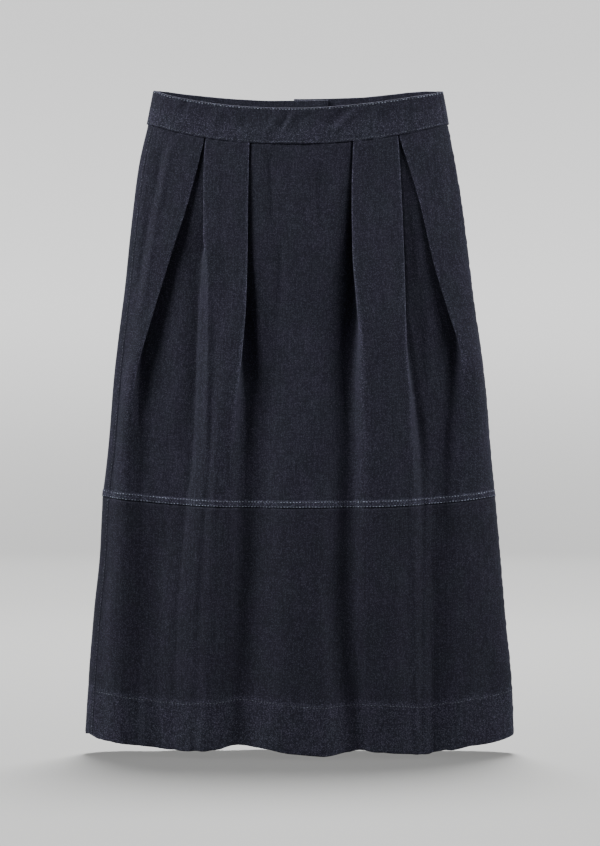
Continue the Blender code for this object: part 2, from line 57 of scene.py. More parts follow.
# ---- cloth, in millimetres ----
CLOTH = 1.0
HEM_TURN_UP = 60.0
HEM_FOLD = 0.58         # half the distance between the middles of the hem's two layers
SEAM_GAP = 0.3
SIDE_GAP = 0.1
SEAM_TUCK = 0.8         # the panels pass this far up into the band
TIER_LAP = 9.0
TIER_RISE = 0.8

# ---- waistband ----
BAND_THICK = 2.6
BAND_OFFSET = 1.0
BAND_ROUND = 1.3
BAND_FOOT_ROUND = 0.7
BAND_OUTER_END = -6.0
BAND_UNDER_END = 38.0
UNDERLAP_INSET = -2.0
UNDERLAP_RAMP = 34.0
UNDERLAP_CLEAR = 3.0

# ---- seams: 0 is the front centre, 90 the wearer's left side, 180 the back centre ----
RIGHT_SEAM = -74.0
LEFT_SEAM = 94.0
BACK_SEAM = 180.0


def table(kind, *rows):
    """A table's rows, each with its named columns."""
    return [kind(*row) for row in rows]


Level = namedtuple("Level", "place front side back right_power left_power")
LEVELS = table(Level, (0.0, 24.2, 0.8, 7.7, 2.4, 1.7), (1.0, 70.5, 42.0, 52.0, 2.5, 2.1),
    (2.0, 535.4, 521.4, 530.0, 2.8, 3.0), (3.0, 844.0, 826.0, 838.0, 4.0, 5.5))
BAND_TOP, WAIST_SEAM, TIER_SEAM, HEM = 0.0, 1.0, 2.0, 3.0
BAND_HEIGHT = 47.3
UPPER_LENGTH = 464.9
TIER_LENGTH = 308.6

Width = namedtuple("Width", "drop right left")
OUTLINE = table(Width, (1, -184.9, 184.4), (44, -194.0, 192.6), (88, -203.7, 201.1),
    (139, -211.3, 209.7), (204, -218.6, 218.0), (268, -225.3, 225.6), (333, -233.3, 234.5),
    (397, -239.5, 241.9), (462, -245.2, 247.2), (522, -252.4, 253.0), (603, -256.8, 260.2),
    (681, -264.5, 266.9), (758, -270.4, 274.4), (826, -274.4, 277.2))
Depth = namedtuple("Depth", "drop front back")
DEPTHS = table(Depth, (0, 30.0, 30.0), (70, 31.0, 31.0), (300, 36.0, 35.0), (535, 42.0, 40.0),
    (840, 50.0, 48.0))

# ---- front pleats: the folded edge's X, how far it turns back, its bend and its straight run ----
Pleat = namedtuple("Pleat", "drop edge turn radius run")
TO_LEFT, TO_RIGHT = 1, -1
PLEATS = [
    ("right_side_edge", TO_LEFT, table(Pleat, (60, -119.8, 180, 0.7, 13),
        (142, -141.1, 178, 0.8, 12), (218, -165.3, 170, 1.0, 11), (312, -193.5, 148, 1.6, 9),
        (360, -206.5, 112, 2.2, 6), (400, -212.5, 70, 4.0, 5), (440, -215.0, 44, 8.0, 8),
        (486, -217.0, 35, 10.0, 12), (535, -218.5, 30, 13.0, 14), (652, -220.7, 27, 16.0, 16),
        (836, -224.1, 25, 18.0, 16))),
    ("right_strip_outer", TO_RIGHT, table(Pleat, (60, -118.0, 180, 0.7, 13),
        (85, -120.3, 179, 0.7, 12), (142, -121.0, 175, 0.8, 9), (188, -120.7, 120, 1.4, 6),
        (221, -118.1, 55, 4.0, 8), (308, -116.0, 28, 9.0, 12), (469, -118.9, 21, 14.0, 14),
        (535, -125.3, 19, 16.0, 16), (652, -132.9, 18, 18.0, 18), (836, -140.3, 18, 20.0, 18))),
    ("right_strip_inner", TO_LEFT, table(Pleat, (60, -63.0, 180, 0.7, 13),
        (142, -65.0, 176, 0.8, 12), (206, -65.4, 172, 1.0, 11), (270, -67.0, 150, 1.6, 11),
        (337, -72.0, 112, 3.0, 9), (397, -78.8, 66, 8.0, 8), (461, -84.0, 43, 17.0, 8),
        (535, -85.0, 36, 23.0, 7), (652, -87.0, 33, 26.0, 7), (836, -95.0, 31, 26.0, 7))),
    ("left_strip_inner", TO_RIGHT, table(Pleat, (60, 70.6, 180, 0.7, 13), (142, 68.3, 172, 0.9, 12),
        (206, 69.1, 152, 1.5, 12), (270, 73.6, 118, 2.8, 10), (327, 78.0, 78, 6.0, 9),
        (397, 79.0, 52, 12.0, 9), (461, 80.0, 43, 17.0, 8), (535, 79.0, 36, 23.0, 7),
        (652, 78.0, 33, 26.0, 7), (836, 90.0, 31, 26.0, 7))),
    ("left_strip_outer", TO_LEFT, table(Pleat, (60, 127.2, 180, 0.7, 13),
        (142, 131.5, 172, 0.9, 11), (215, 134.1, 140, 1.5, 8), (316, 137.0, 95, 2.8, 6),
        (404, 143.4, 60, 5.0, 6), (469, 146.5, 38, 8.0, 8), (535, 149.0, 28, 11.0, 8),
        (652, 151.0, 23, 11.0, 5), (836, 152.0, 20, 11.0, 4))),
    ("left_side_edge", TO_RIGHT, table(Pleat, (60, 129.3, 180, 0.7, 13), (142, 154.8, 177, 0.7, 10),
        (218, 172.4, 166, 0.8, 9), (288, 192.8, 138, 1.5, 7), (342, 208.3, 88, 3.8, 7),
        (378, 209.7, 58, 6.5, 8), (436, 205.8, 42, 9.0, 9), (535, 201.0, 34, 11.0, 9),
        (652, 198.0, 28, 11.0, 6), (836, 194.0, 24, 11.0, 5))),
]
Crown = namedtuple("Crown", "drop right_underlay right_strip centre left_strip left_underlay")
CROWNS = table(Crown, (60, 0.0, 0.0, 0.0, 0.0, 0.0), (200, 0.5, 0.6, 2.5, 0.6, 0.3),
    (400, 0.0, 1.5, 9.0, 1.5, 0.0), (535, -1.5, 2.0, 12.0, 2.0, -1.5),
    (836, -2.5, 3.0, 15.0, 3.0, -3.0))
# Under each folded edge the cloth falls away by depth. It is level again reach away from it.
Hollow = namedtuple("Hollow", "drop depth reach")
HOLLOWS = [
    table(Hollow, (60, 0.0, 8), (104, 1.0, 14), (142, 2.4, 22), (190, 4.0, 36), (244, 4.5, 50),
          (320, 5.0, 60), (397, 4.5, 70), (461, 3.0, 70), (535, 1.5, 60), (652, 0.5, 60),
          (836, 0.0, 60)),
    table(Hollow, (60, 0.0, 10), (142, 0.6, 12), (190, 1.5, 20), (244, 2.5, 30), (320, 3.5, 40),
          (397, 3.2, 46), (461, 3.2, 54), (535, 3.5, 60), (836, 0.0, 40)),
    table(Hollow, (60, 0.0, 4), (104, 0.3, 4), (142, 1.2, 6), (244, 2.5, 10), (295, 3.0, 16),
          (346, 3.0, 30), (397, 2.8, 46), (535, 2.5, 60), (836, 1.0, 60)),
    table(Hollow, (60, 0.0, 4), (104, 0.4, 5), (142, 1.8, 6), (190, 4.0, 9), (244, 5.0, 14),
          (295, 4.0, 22), (346, 3.0, 34), (397, 2.5, 46), (535, 1.5, 56), (836, 1.0, 56)),
    table(Hollow, (60, 0.0, 4), (120, 1.0, 4), (295, 1.5, 6), (346, 2.0, 9), (440, 1.5, 12),
          (535, 0.5, 16), (836, 0.0, 16)),
    table(Hollow, (60, 0.0, 6), (244, 0.0, 10), (320, 1.0, 20), (397, 1.5, 24), (535, 1.0, 30),
          (836, 1.0, 30)),
]
EVEN_FLANKS = (0.5, 0.5)
CENTRE_FLANKS = (0.45, 0.28)

Trough = namedtuple("Trough", "start top_x hem_x hem_depth top_half hem_half")
BACK_TROUGHS = table(Trough, (150, 128, 172, 10.0, 16, 34), (90, 62, 78, 14.0, 14, 36),
    (230, 4, -14, 9.0, 18, 34), (110, -70, -92, 13.0, 14, 38), (190, -136, -184, 9.0, 16, 32))
BACK_RISE = 3.5
BACK_FADE = 0.45
# How far the band's top edge stands above its level, by bearing; the lapped end stands proud.
BAND_LIFTS = [(-200, 0.5), (-165, 0.5), (-154, 1.4), (-138, 3.0), (-123, 3.8), (-114, 4.2),
              (-90, 3.0), (-62, 0.0), (70, 0.0), (90, 2.0), (106, 3.4), (118, 5.2), (130, 5.6),
              (140, 4.4), (152, 2.8), (160, 2.8), (183, 3.0)]
# How far the front hem hangs below its level, by x.
HEM_TRIMS = [(-270, -2.4), (-259, 0.0), (-239, -2.9), (-228, -2.8), (-208, 1.3), (-178, 2.9),
             (-147, 0.5), (-127, -3.7), (-92, -6.2), (-56, -5.1), (-36, -5.7), (-15, -3.8),
             (5, -1.8), (25, -0.2), (66, 2.5), (86, -1.8), (107, -2.5), (127, -1.1), (147, 3.2),
             (168, 6.5), (188, 1.8), (218, -2.2), (239, -0.5), (270, 1.0)]
TRIM_START = 2.2        # the place where those trims start
HEM_SWAY = 0.45         # the hem drops this much of a fold's height where the fold stands out
SWAY_START = 2.55       # the place where that drop starts

# ---- creases laid on the panels ----
# Each runs from one end (x0, drop0) to the other, bowed sideways, fading at both ends.
# left and right are its half-widths to either side, and rise is its height.
Crease = namedtuple("Crease", "x0 drop0 x1 drop1 bow left right rise")
FRONT_CREASES = table(Crease, (-39, 60, -30, 216, -2, 5, 7, -2.6),
    (-24, 170, -31, 334, 2, 6, 9, -3.6), (-31, 296, -47, 446, 3, 8, 12, -2.4),
    (-52, 74, -50, 372, 0, 6, 5, 1.9), (25, 90, 24, 196, 0, 5, 6, -2.0),
    (47, 100, 46, 250, 0, 8, 5, 1.6), (-160, 56, -182, 168, 0, 5, 4, 1.9),
    (-178, 136, -206, 314, 1, 6, 5, 1.8), (-172, 60, -188, 154, 0, 4, 4, -1.2),
    (-189, 140, -209, 266, 0, 5, 5, -1.4), (-113, 196, -119, 480, 1, 3, 4, 2.0),
    (-196, 418, -188, 560, 0, 9, 12, -2.0), (-150, 250, -156, 452, 5, 14, 16, 0.8),
    (-176, 340, -168, 505, 0, 10, 9, -1.3), (-98, 90, -88, 330, -3, 7, 8, -1.3),
    (-214, 340, -204, 470, 0, 6, 8, 1.4), (84, 86, 86, 250, 2, 7, 8, -1.4),
    (106, 180, 120, 400, -3, 10, 8, 1.6), (2, 300, 10, 500, 6, 14, 16, 1.3),
    (14, 150, 12, 290, 0, 6, 6, 0.9), (150, 100, 153, 260, 2, 6, 7, 0.9),
    (164, 240, 170, 400, 0, 8, 9, 1.3), (196, 330, 191, 520, 0, 8, 9, -1.2),
    (152, 400, 160, 520, 0, 8, 8, -1.0), (186, 70, 200, 190, 2, 7, 7, -1.0),
    (176, 60, 190, 150, 0, 6, 7, 0.8), (-226, 250, -236, 420, 0, 8, 8, 0.9),
    (222, 330, 232, 500, 0, 8, 8, 0.9), (-66, 480, -40, 512, 0, 7, 7, -0.8),
    (60, 486, 40, 516, 0, 7, 7, -0.8))
TIER_CREASES = table(Crease, (-190, 520, -193, 760, 0, 14, 18, -2.0),
    (-150, 560, -158, 840, 0, 22, 20, 1.6), (-112, 545, -120, 720, 3, 12, 14, -1.2),
    (-58, 540, -62, 800, -4, 15, 17, -1.8), (-8, 560, -2, 850, 0, 24, 22, 1.5),
    (34, 560, 46, 840, 3, 12, 16, -1.7), (122, 560, 118, 830, 3, 20, 20, 1.4),
    (168, 545, 172, 800, 0, 12, 13, -1.8), (216, 560, 222, 830, 0, 14, 14, 1.3),
    (-236, 580, -242, 800, 0, 9, 11, 1.0), (-30, 620, 12, 700, 0, 9, 9, 0.8),
    (70, 690, 104, 640, 0, 9, 9, 0.7), (-140, 690, -104, 640, 0, 10, 10, -0.7),
    (184, 620, 214, 700, 0, 9, 9, 0.7))
BACK_CREASES = table(Crease, (34, 60, 42, 300, 3, 8, 10, -1.4), (-40, 62, -48, 260, -2, 8, 8, -1.3),
    (96, 90, 108, 360, 4, 10, 12, 1.4), (-104, 80, -116, 400, -3, 12, 10, 1.3),
    (150, 120, 168, 420, 4, 10, 10, -1.3), (-158, 140, -176, 470, -4, 11, 11, -1.2),
    (12, 300, 20, 530, 4, 14, 12, 1.3), (-30, 330, -36, 540, 0, 12, 14, -1.4),
    (124, 400, 132, 540, 0, 14, 12, -1.2), (-130, 420, -140, 540, 0, 13, 13, 1.2),
    (186, 300, 198, 520, 0, 10, 9, 1.0), (-196, 200, -210, 460, 0, 9, 10, 0.9),
    (20, 530, 26, 840, 4, 20, 18, 1.5), (-44, 530, -52, 820, -3, 17, 19, -1.6),
    (112, 540, 124, 840, 0, 18, 22, 1.5), (-120, 545, -132, 830, 0, 20, 18, 1.4),
    (168, 560, 184, 820, 0, 15, 15, -1.5), (-176, 560, -192, 820, 0, 15, 15, -1.4),
    (214, 580, 226, 800, 0, 12, 12, 1.1), (-222, 560, -232, 810, 0, 12, 12, 1.0))
BAND_CREASES = table(Crease, (-18, 58, -3, 26, 0, 3.0, 3.5, 1.7),
    (-27, 56, -12, 28, 0, 4.0, 3.0, -1.6), (-40, 60, -30, 34, 0, 4.0, 4.0, 1.1),
    (44, 58, 74, 25, 0, 4.0, 4.0, 2), (34, 52, 60, 24, 0, 5.0, 5.0, -1.8),
    (-2, 44, 18, 30, 0, 5.0, 5.0, -1.1), (-78, 56, -60, 26, 0, 6.0, 5.0, -1.1),
    (-112, 50, -96, 20, 0, 6.0, 6.0, 1.1), (104, 50, 122, 20, 0, 6.0, 6.0, -1.1),
    (140, 42, 152, 14, 0, 6.0, 5.0, 1), (-152, 40, -142, 12, 0, 5.0, 5.0, -1),
    (88, 54, 96, 28, 0, 4.0, 5.0, 0.92))
BACK_BAND_CREASES = table(Crease, (60, 44, 78, 12, 0, 5.0, 5.0, 0.6),
    (-64, 44, -80, 12, 0, 5.0, 5.0, 0.6), (112, 38, 128, 8, 0, 6.0, 5.0, -0.5),
    (-118, 38, -132, 8, 0, 6.0, 6.0, -0.5), (26, 48, 38, 16, 0, 4.0, 5.0, -0.5),
    (-34, 48, -46, 16, 0, 5.0, 4.0, -0.4))

# ---- unevenness: waves that never line up ----
Wave = namedtuple("Wave", "span size phase lean")
SOFT_WAVES = table(Wave, (131, 0.55, 0.4, 0.10), (83, 0.40, 2.2, -0.16), (57, 0.26, 4.1, 0.22),
    (37, 0.14, 1.3, -0.30))
SEAM_WAVES = table(Wave, (9.1, 0.42, 0.3, 0.0), (13.7, 0.50, 1.9, 0.0), (22.3, 0.42, 4.0, 0.0),
    (37.0, 0.30, 5.2, 0.0))
SIDE_FADE = 16.0        # creases and waves fade out this near a side seam
WAIST_FADE = 30.0       # and this near the waist seam
SEAM_CALM = 0.7         # the tier seam takes this share of them away
CALM_ABOVE, CALM_BELOW = 16.0, 14.0     # and reaches this far

BAND_TOP_ROW = 2.2      # the band's stitch rows, from its top
BAND_FOOT_ROW = 2.6     # and from its foot
Pucker = namedtuple("Pucker", "size middle width")
AT_WAIST = Pucker(0.42, 0.0, 15.0)
AT_LAP = Pucker(0.38, 5.0, 8.0)
BELOW_LAP = Pucker(0.38, 0.0, 11.0)
AT_SIDE = Pucker(0.40, 3.0, 6.0)
HEM_PUCKER = 0.40
BAND_PUCKER = 0.34
FOOT_PUCKER, TOP_PUCKER = Pucker(1.0, BAND_FOOT_ROW, 6.0), Pucker(0.7, BAND_TOP_ROW, 5.0)
ALL_OVER_PUCKER = 0.25  # between the band's two rows
BAND_WAVE = 0.5         # the band is stiffer than the panels
BAND_END_FADE, PUCKER_END_FADE = 20.0, 10.0
BAND_SIDE_FADE = 0.12   # in cosines of the bearing
BAND_PUFF = 0.22        # the band's two faces stand out this much between its stitch rows
LAP_STEP = 1.8          # the lap rises over the tier's top edge within this length
LAP_ROLL, LAP_ROLL_WIDTH = 0.30, 0.9    # the lap's cut edge rolls in
ROPE_SPREAD, ROPE_LEAN = 0.62, 0.09     # the hem's ripples are longer and slant
ROPE_LEAST, ROPE_HEIGHT, ROPE_WIDTH = 0.30, 46.0, 18.0  # strongest near the hem's stitches
ROPE_EDGE, ROPE_EDGE_WIDTH = 0.35, 10.0 # and again, weaker, at its very edge
HEM_RIDGE = 0.25        # the hem stands out over its turned-up layer
WAIST_RISE = 2.2        # the middle of the front comes up to the band's face this much
WAIST_RISE_FROM, WAIST_RISE_TO = -62.5, 68.5
WAIST_RISE_EDGE, WAIST_RISE_REACH = 3.0, 42.0
WAIST_DITCH, WAIST_DITCH_WIDTH = 0.5, 1.2     # the front sinks where it passes into the band
STITCH_DIP = 0.12
STITCH_DIP_WIDTH = 0.9
Wear = namedtuple("Wear", "fold edge row zone")
WEAR = Wear(0.85, 0.8, 0.5, 0.35)

# ---- the other stitch rows: distances from the edges they follow ----
LAP_ROWS = (1.7, 7.8)
HEM_ROW = 58.2
SIDE_ROW = 2.4
BAND_END_ROW = 3.0
BAND_START_TRIM = 3.0
ROW_TRIM = 1.5
SIDE_ROW_STEP = 3.0
STITCH_TILT = 0.09      # in radians
STITCH_STRAY = 0.13
STITCH_RISE = 0.30      # how far a stitch's middle stands out, in threads
STITCH_HEIGHT = 0.42    # half its height, in threads

# ---- steps of the finished sheets ----
Grain = namedtuple("Grain", "side bend run underlay strip centre")
UPPER_GRAIN = Grain(side=28, bend=6, run=5, underlay=24, strip=24, centre=72)
TIER_GRAIN = Grain(side=24, bend=4, run=4, underlay=24, strip=22, centre=64)
LINE_GRAIN = Grain(side=60, bend=8, run=8, underlay=50, strip=50, centre=150)
UPPER_STEP = 3.7
TIER_STEP = 3.4
FINE_STEP = 0.85        # rows this close where stitching dips the cloth
BAND_STEP = 2.0
BAND_MIDDLE = 0.5
BAND_FACE_ROWS = 26

# ---- weave: sizes in millimetres ----
YARN_WIDTH = 0.46
PICK_WIDTH = 0.62
TWILL_STEP = 3.0
TWILL_PALE, TWILL_HIGH, RIB_HIGH = 0.04, 0.35, 0.15
SPECK_WIDTH, SPECK_HEIGHT = 0.74, 0.86
SPECK_RARITY = 7.0
SPECK_PALE, SPECK_WORN = 0.50, 2.4
GRIT_WORN = 1.1
WARM_PATCH, COOL_PATCH = (1.03, 0.98, 1.04), (0.96, 1.01, 0.98)
# Unevenness of yarn and dye: its spans across and down, how it leans and where it starts, its
# detail, and what it adds to the paleness and to the fine relief.
Uneven = namedtuple("Uneven", "name wide tall lean start detail rough pale high")
UNEVEN = table(Uneven, ("warp_slub", 1.3, 19.0, 0.0, 0.0, 3.0, 0.6, 0.285, 0.4),
    ("long_slub", 3.4, 70.0, 0.0, 0.0, 2.0, 0.5, 0.12, 0.0),
    ("weft_slub", 16.0, 1.4, 0.0, 0.0, 2.0, 0.55, 0.18, 0.0),
    ("grit", 1.55, 1.9, 0.25, 0.0, 2.0, 0.65, 0.0, 0.25),
    ("cloud", 45.0, 60.0, 0.0, 0.0, 2.0, 0.5, 0.08, 0.0),
    ("patch", 38.0, 46.0, 0.0, 7.0, 2.0, 0.55, 0.0, 0.0),
    ("crumple", 9.0, 13.0, 0.0, 0.0, 2.0, 0.5, 0.0, 0.0))

# ---- zip ----
ZIP_LENGTH = 190.0
ZIP_TAPE_WIDTH = 24.0
ZIP_TAPE_THICK = 0.9
COIL_PITCH = 1.45
COIL_WIDTH = 4.6
COIL_HEIGHT = 0.45
COIL_STAGGER = 0.35
COIL_FILL = 0.42        # half a turn's thickness, as a share of the pitch
ZIP_COLUMNS = 17
METAL_ROUND = 0.18
SAME_POINT = 0.005 * MM

# ---- the cuts, as flat widths and lengths in metres ----
FRONT_CUT = (0.585, 0.465)
BACK_CUT = (0.260, 0.465)
FRONT_TIER_CUT = (0.590, 0.369)
BACK_TIER_CUT = (0.560, 0.369)


# ---- sections ----

class Track:
    """One column of a table, read along a smooth curve that never overshoots its rows."""

    def __init__(self, rows, column):
        self.xs = np.array([row[0] for row in rows], float)
        self.ys = np.array([getattr(row, column) for row in rows], float)
        steps = np.diff(self.xs)
        rates = np.diff(self.ys) / steps
        slopes = [rates[0]]
        for k in range(1, len(steps)):
            before, after = rates[k - 1], rates[k]
            heavy_after = 2 * steps[k] + steps[k - 1]
            heavy_before = steps[k] + 2 * steps[k - 1]
            if before * after <= 0:
                slopes.append(0.0)
            else:
                slopes.append((heavy_after + heavy_before)
                              / (heavy_after / before + heavy_before / after))
        self.slopes = np.array([*slopes, rates[-1]])

    def __call__(self, at):
        at = np.clip(at, self.xs[0], self.xs[-1])
        k = np.clip(np.searchsorted(self.xs, at, side="right") - 1, 0, len(self.xs) - 2)
        step = self.xs[k + 1] - self.xs[k]
        t = (at - self.xs[k]) / step
        return (self.ys[k] * (1 + 2 * t) * (1 - t) ** 2
                + self.slopes[k] * step * t * (1 - t) ** 2
                + self.ys[k + 1] * t * t * (3 - 2 * t)
                + self.slopes[k + 1] * step * t * t * (t - 1))


RIGHT_EDGE, LEFT_EDGE = Track(OUTLINE, "right"), Track(OUTLINE, "left")
FRONT_DEPTH, BACK_DEPTH = Track(DEPTHS, "front"), Track(DEPTHS, "back")
CROWN_TRACKS = {name: Track(CROWNS, name) for name in Crown._fields[1:]}
HOLLOW_TRACKS = [{name: Track(rows, name) for name in Hollow._fields[1:]} for rows in HOLLOWS]
PLEAT_TRACKS = [(faces, {name: Track(rows, name) for name in Pleat._fields[1:]})
                for _, faces, rows in PLEATS]


def smooth(t):
    t = np.clip(t, 0.0, 1.0)
    return t * t * (3 - 2 * t)


def level(place, column):
    return float(np.interp(place, [row.place for row in LEVELS],
                           [getattr(row, column) for row in LEVELS]))


def half_width(place):
    side = level(place, "side")
    return 0.5 * float(LEFT_EDGE(side) - RIGHT_EDGE(side))


def centre_x(place):
    side = level(place, "side")
    return 0.5 * float(LEFT_EDGE(side) + RIGHT_EDGE(side))


def drop_at(place, sine, at_front):
    """The drop of a level at a bearing's sine: an arc that is lowest at the centre."""
    middle = np.where(at_front, level(place, "front"), level(place, "back"))
    power = np.where(sine > 0, level(place, "left_power"), level(place, "right_power"))
    return middle + (level(place, "side") - middle) * np.abs(sine) ** power


def spot(place, bearings):
    """The X and the drop of bearings at a level, on the bare section."""
    sine, at_front = np.sin(bearings), np.cos(bearings) > 0
    return centre_x(place) + half_width(place) * sine, drop_at(place, sine, at_front)


def skin(place, bearings, heights, relief=0.0):
    """Points in metres at bearings round a level, with heights and relief along its normal."""
    sine, cosine = np.sin(bearings), np.cos(bearings)
    at_front = cosine > 0
    drop = drop_at(place, sine, at_front)
    wide = half_width(place)
    deep = np.where(at_front, FRONT_DEPTH(drop), BACK_DEPTH(drop))
    across, out = sine / wide, -cosine / deep
    size = np.hypot(across, out)
    sway = HEM_SWAY * heights * smooth((place - SWAY_START) / (HEM - SWAY_START))
    trim = np.interp(centre_x(place) + wide * sine, *zip(*HEM_TRIMS)) * at_front
    sway = sway + trim * smooth((place - TRIM_START) / (HEM - TRIM_START))
    heights = heights + relief
    return np.stack([centre_x(place) + wide * sine + heights * across / size,
                     -deep * cosine + heights * out / size, -(drop + sway)], axis=-1) * MM


def bearing_speed(place, bearing):
    """Millimetres of section for each radian of bearing."""
    deep = (FRONT_DEPTH if math.cos(bearing) > 0 else BACK_DEPTH)(level(place, "side"))
    return math.hypot(half_width(place) * math.cos(bearing), float(deep) * math.sin(bearing))


def seam_bearing(place, seam, side):
    """Where a piece stops at an upright seam, half the clearance away on the given side of it."""
    bearing = math.radians(seam)
    return bearing + side * 0.5 * SIDE_GAP / bearing_speed(place, bearing)


def pleat_path(turn, radius, run, bend_steps, run_steps):
    """Cloth turning in at a folded edge that faces +X: X, height and wear along it, from (0, 0)."""
    turn = math.radians(turn)
    bend = [(radius * math.sin(a), -radius * (1 - math.cos(a)))
            for a in np.linspace(0.0, turn, bend_steps + 1)]
    across = 2 * radius * math.sin(turn) + run * math.cos(turn)
    deep = 2 * radius * (1 - math.cos(turn)) + run * math.sin(turn)
    path = bend + [(across - x, -deep - h) for x, h in reversed(bend)]
    first, second = path[bend_steps], path[bend_steps + 1]
    extra = [(first[0] + (second[0] - first[0]) * k / run_steps,
              first[1] + (second[1] - first[1]) * k / run_steps) for k in range(1, run_steps)]
    path[bend_steps + 1:bend_steps + 1] = extra
    crisp = float(smooth(math.degrees(turn) / 90.0 - 0.3))
    wear = [crisp * float(smooth(1.0 - abs(k / bend_steps - 0.6))) for k in range(len(path))]
    return path, deep, wear


Fold = namedtuple("Fold", "points depth lap reach")


def pleat_at(place, faces, tracks, hollow, bend_steps, run_steps):
    """A folded edge at a level: positions, heights and wear in order of X, and its hollow."""
    nominal = float(tracks["edge"](0.0))
    for _ in range(3):
        sine = max(-0.98, min(0.98, (nominal - centre_x(place)) / half_width(place)))
        drop = float(drop_at(place, sine, True))
        nominal = float(tracks["edge"](drop))
    turn, radius, run = (float(tracks[name](drop)) for name in ("turn", "radius", "run"))
    depth, reach = (float(hollow[name](drop)) for name in ("depth", "reach"))
    path, deep, wear = pleat_path(turn, radius, run, bend_steps, run_steps)
    bulge = radius * math.sin(math.radians(min(turn, 90.0)))
    sink = depth * smooth((np.arange(len(path)) - bend_steps) / (len(path) - 1 - bend_steps))
    points = [(nominal + faces * (x - bulge), 0.5 * deep + h - s, w)
              for (x, h), s, w in zip(path, sink, wear)]
    lap = max(0.0, bulge - path[-1][0])
    return Fold(points if faces == TO_LEFT else points[::-1], depth, lap, reach)


def span(before, after, under, steps, crown, flanks):
    """Free cloth between two folds, over them or under them; its inner points only."""
    q = np.arange(1, steps) / steps
    first, last = before.points[-1], after.points[0]
    sunk = (before.depth, after.depth) if under else (0.0, 0.0)
    start, end = first[1] + sunk[0], last[1] + sunk[1]
    across = first[0] + (last[0] - first[0]) * q
    height = start + (end - start) * smooth(q)
    height += crown * smooth(q / flanks[0]) * smooth((1 - q) / flanks[1])
    height -= sunk[0] * (1 - smooth((across - first[0] - before.lap) / before.reach))
    height -= sunk[1] * (1 - smooth((last[0] - across - after.lap) / after.reach))
    return list(zip(across, height, 0 * q))


def side_run(seam, edge, height, steps):
    """From a side seam towards the outermost folded edge, rising to that edge's height."""
    q = np.arange(0, steps) / steps
    return list(zip(seam + (edge - seam) * q, height * smooth(q), 0 * q))


def front_section(place, grain):
    """Bearings, heights and wear across the front, from the right side seam to the left."""
    wide, middle = half_width(place), centre_x(place)
    folds = [pleat_at(place, faces, tracks, hollow, grain.bend, grain.run)
             for (faces, tracks), hollow in zip(PLEAT_TRACKS, HOLLOW_TRACKS)]
    drop = float(drop_at(place, 0.5, True))
    spans = [("right_underlay", grain.underlay, EVEN_FLANKS),
             ("right_strip", grain.strip, EVEN_FLANKS), ("centre", grain.centre, CENTRE_FLANKS),
             ("left_strip", grain.strip, EVEN_FLANKS),
             ("left_underlay", grain.underlay, EVEN_FLANKS)]
    points = list(folds[0].points)
    for number, (name, steps, flanks) in enumerate(spans):
        under = PLEAT_TRACKS[number][0] == TO_LEFT
        crown = float(CROWN_TRACKS[name](drop))
        points += span(folds[number], folds[number + 1], under, steps, crown, flanks)
        points += folds[number + 1].points
    rows = [(math.asin(max(-0.999, min(0.999, (x - middle) / wide))), h, w) for x, h, w in points]
    head = side_run(seam_bearing(place, RIGHT_SEAM, 1), rows[0][0], rows[0][1], grain.side)
    tail = side_run(seam_bearing(place, LEFT_SEAM, -1), rows[-1][0], rows[-1][1], grain.side)
    return np.array(head + rows + tail[::-1]).T


def back_heights(place, bearings):
    """Heights of the back's soft folds."""
    x, drop = spot(place, bearings)
    down = drop / level(HEM, "back")
    height = np.zeros_like(x)
    for row in BACK_TROUGHS:
        share = smooth((drop - row.start) / (level(HEM, "back") - row.start))
        axis = row.top_x + (row.hem_x - row.top_x) * down
        half = row.top_half + (row.hem_half - row.top_half) * down
        height -= row.hem_depth * share * np.exp(-((x - axis) / half) ** 2)
    edge = np.maximum(0.0, -np.cos(bearings))
    return (height + BACK_RISE * smooth(down)) * smooth(edge / BACK_FADE)


def back_section(place, start, end, columns):
    bearings = np.linspace(start, end, columns)
    return np.array([bearings, back_heights(place, bearings), np.zeros(columns)])


# ---- relief laid on the sections ----

def creased(rows, x, drop):
    """The height of a table of creases at points of a panel."""
    total = np.zeros_like(x)
    for row in rows:
        run_x, run_drop = row.x1 - row.x0, row.drop1 - row.drop0
        length = math.hypot(run_x, run_drop)
        run_x, run_drop = run_x / length, run_drop / length
        along = ((x - row.x0) * run_x + (drop - row.drop0) * run_drop) / length
        across = (x - row.x0) * run_drop - (drop - row.drop0) * run_x
        inside = np.clip(along, 0.0, 1.0)
        off = across - row.bow * 4 * inside * (1 - inside)
        half = np.where(off < 0, row.left, row.right)
        fade = smooth(along / 0.3) * smooth((1 - along) / 0.3)
        total += row.rise * np.exp(-(off / half) ** 2) * fade
    return total


def rippled(waves, along, down=0.0, shift=0.0):
    """Uneven ripples: a few waves that never line up."""
    return sum(row.size * np.sin(2 * math.pi * (along + row.lean * down) / row.span
                                 + row.phase + shift) for row in waves)


def bump(distance, width):
    return np.exp(-(distance / width) ** 2)


def arc(points):
    """Millimetres along a row of points, from its first one."""
    steps = np.linalg.norm(np.diff(points, axis=0), axis=1)
    return np.concatenate([[0.0], np.cumsum(steps)]) / MM


def pucker(kind, waves, distance):
    """Sewn-in ripples of one kind, at a distance from the edge they follow."""
    return kind.size * waves * bump(distance - kind.middle, kind.width)


def beside_seams(soft, drop, along):
    """Relief that fades out near the two side seams, where the cloth puckers instead."""
    edge = np.minimum(along, along[-1] - along)
    return soft * smooth(edge / SIDE_FADE) + pucker(AT_SIDE, rippled(SEAM_WAVES, drop), edge)


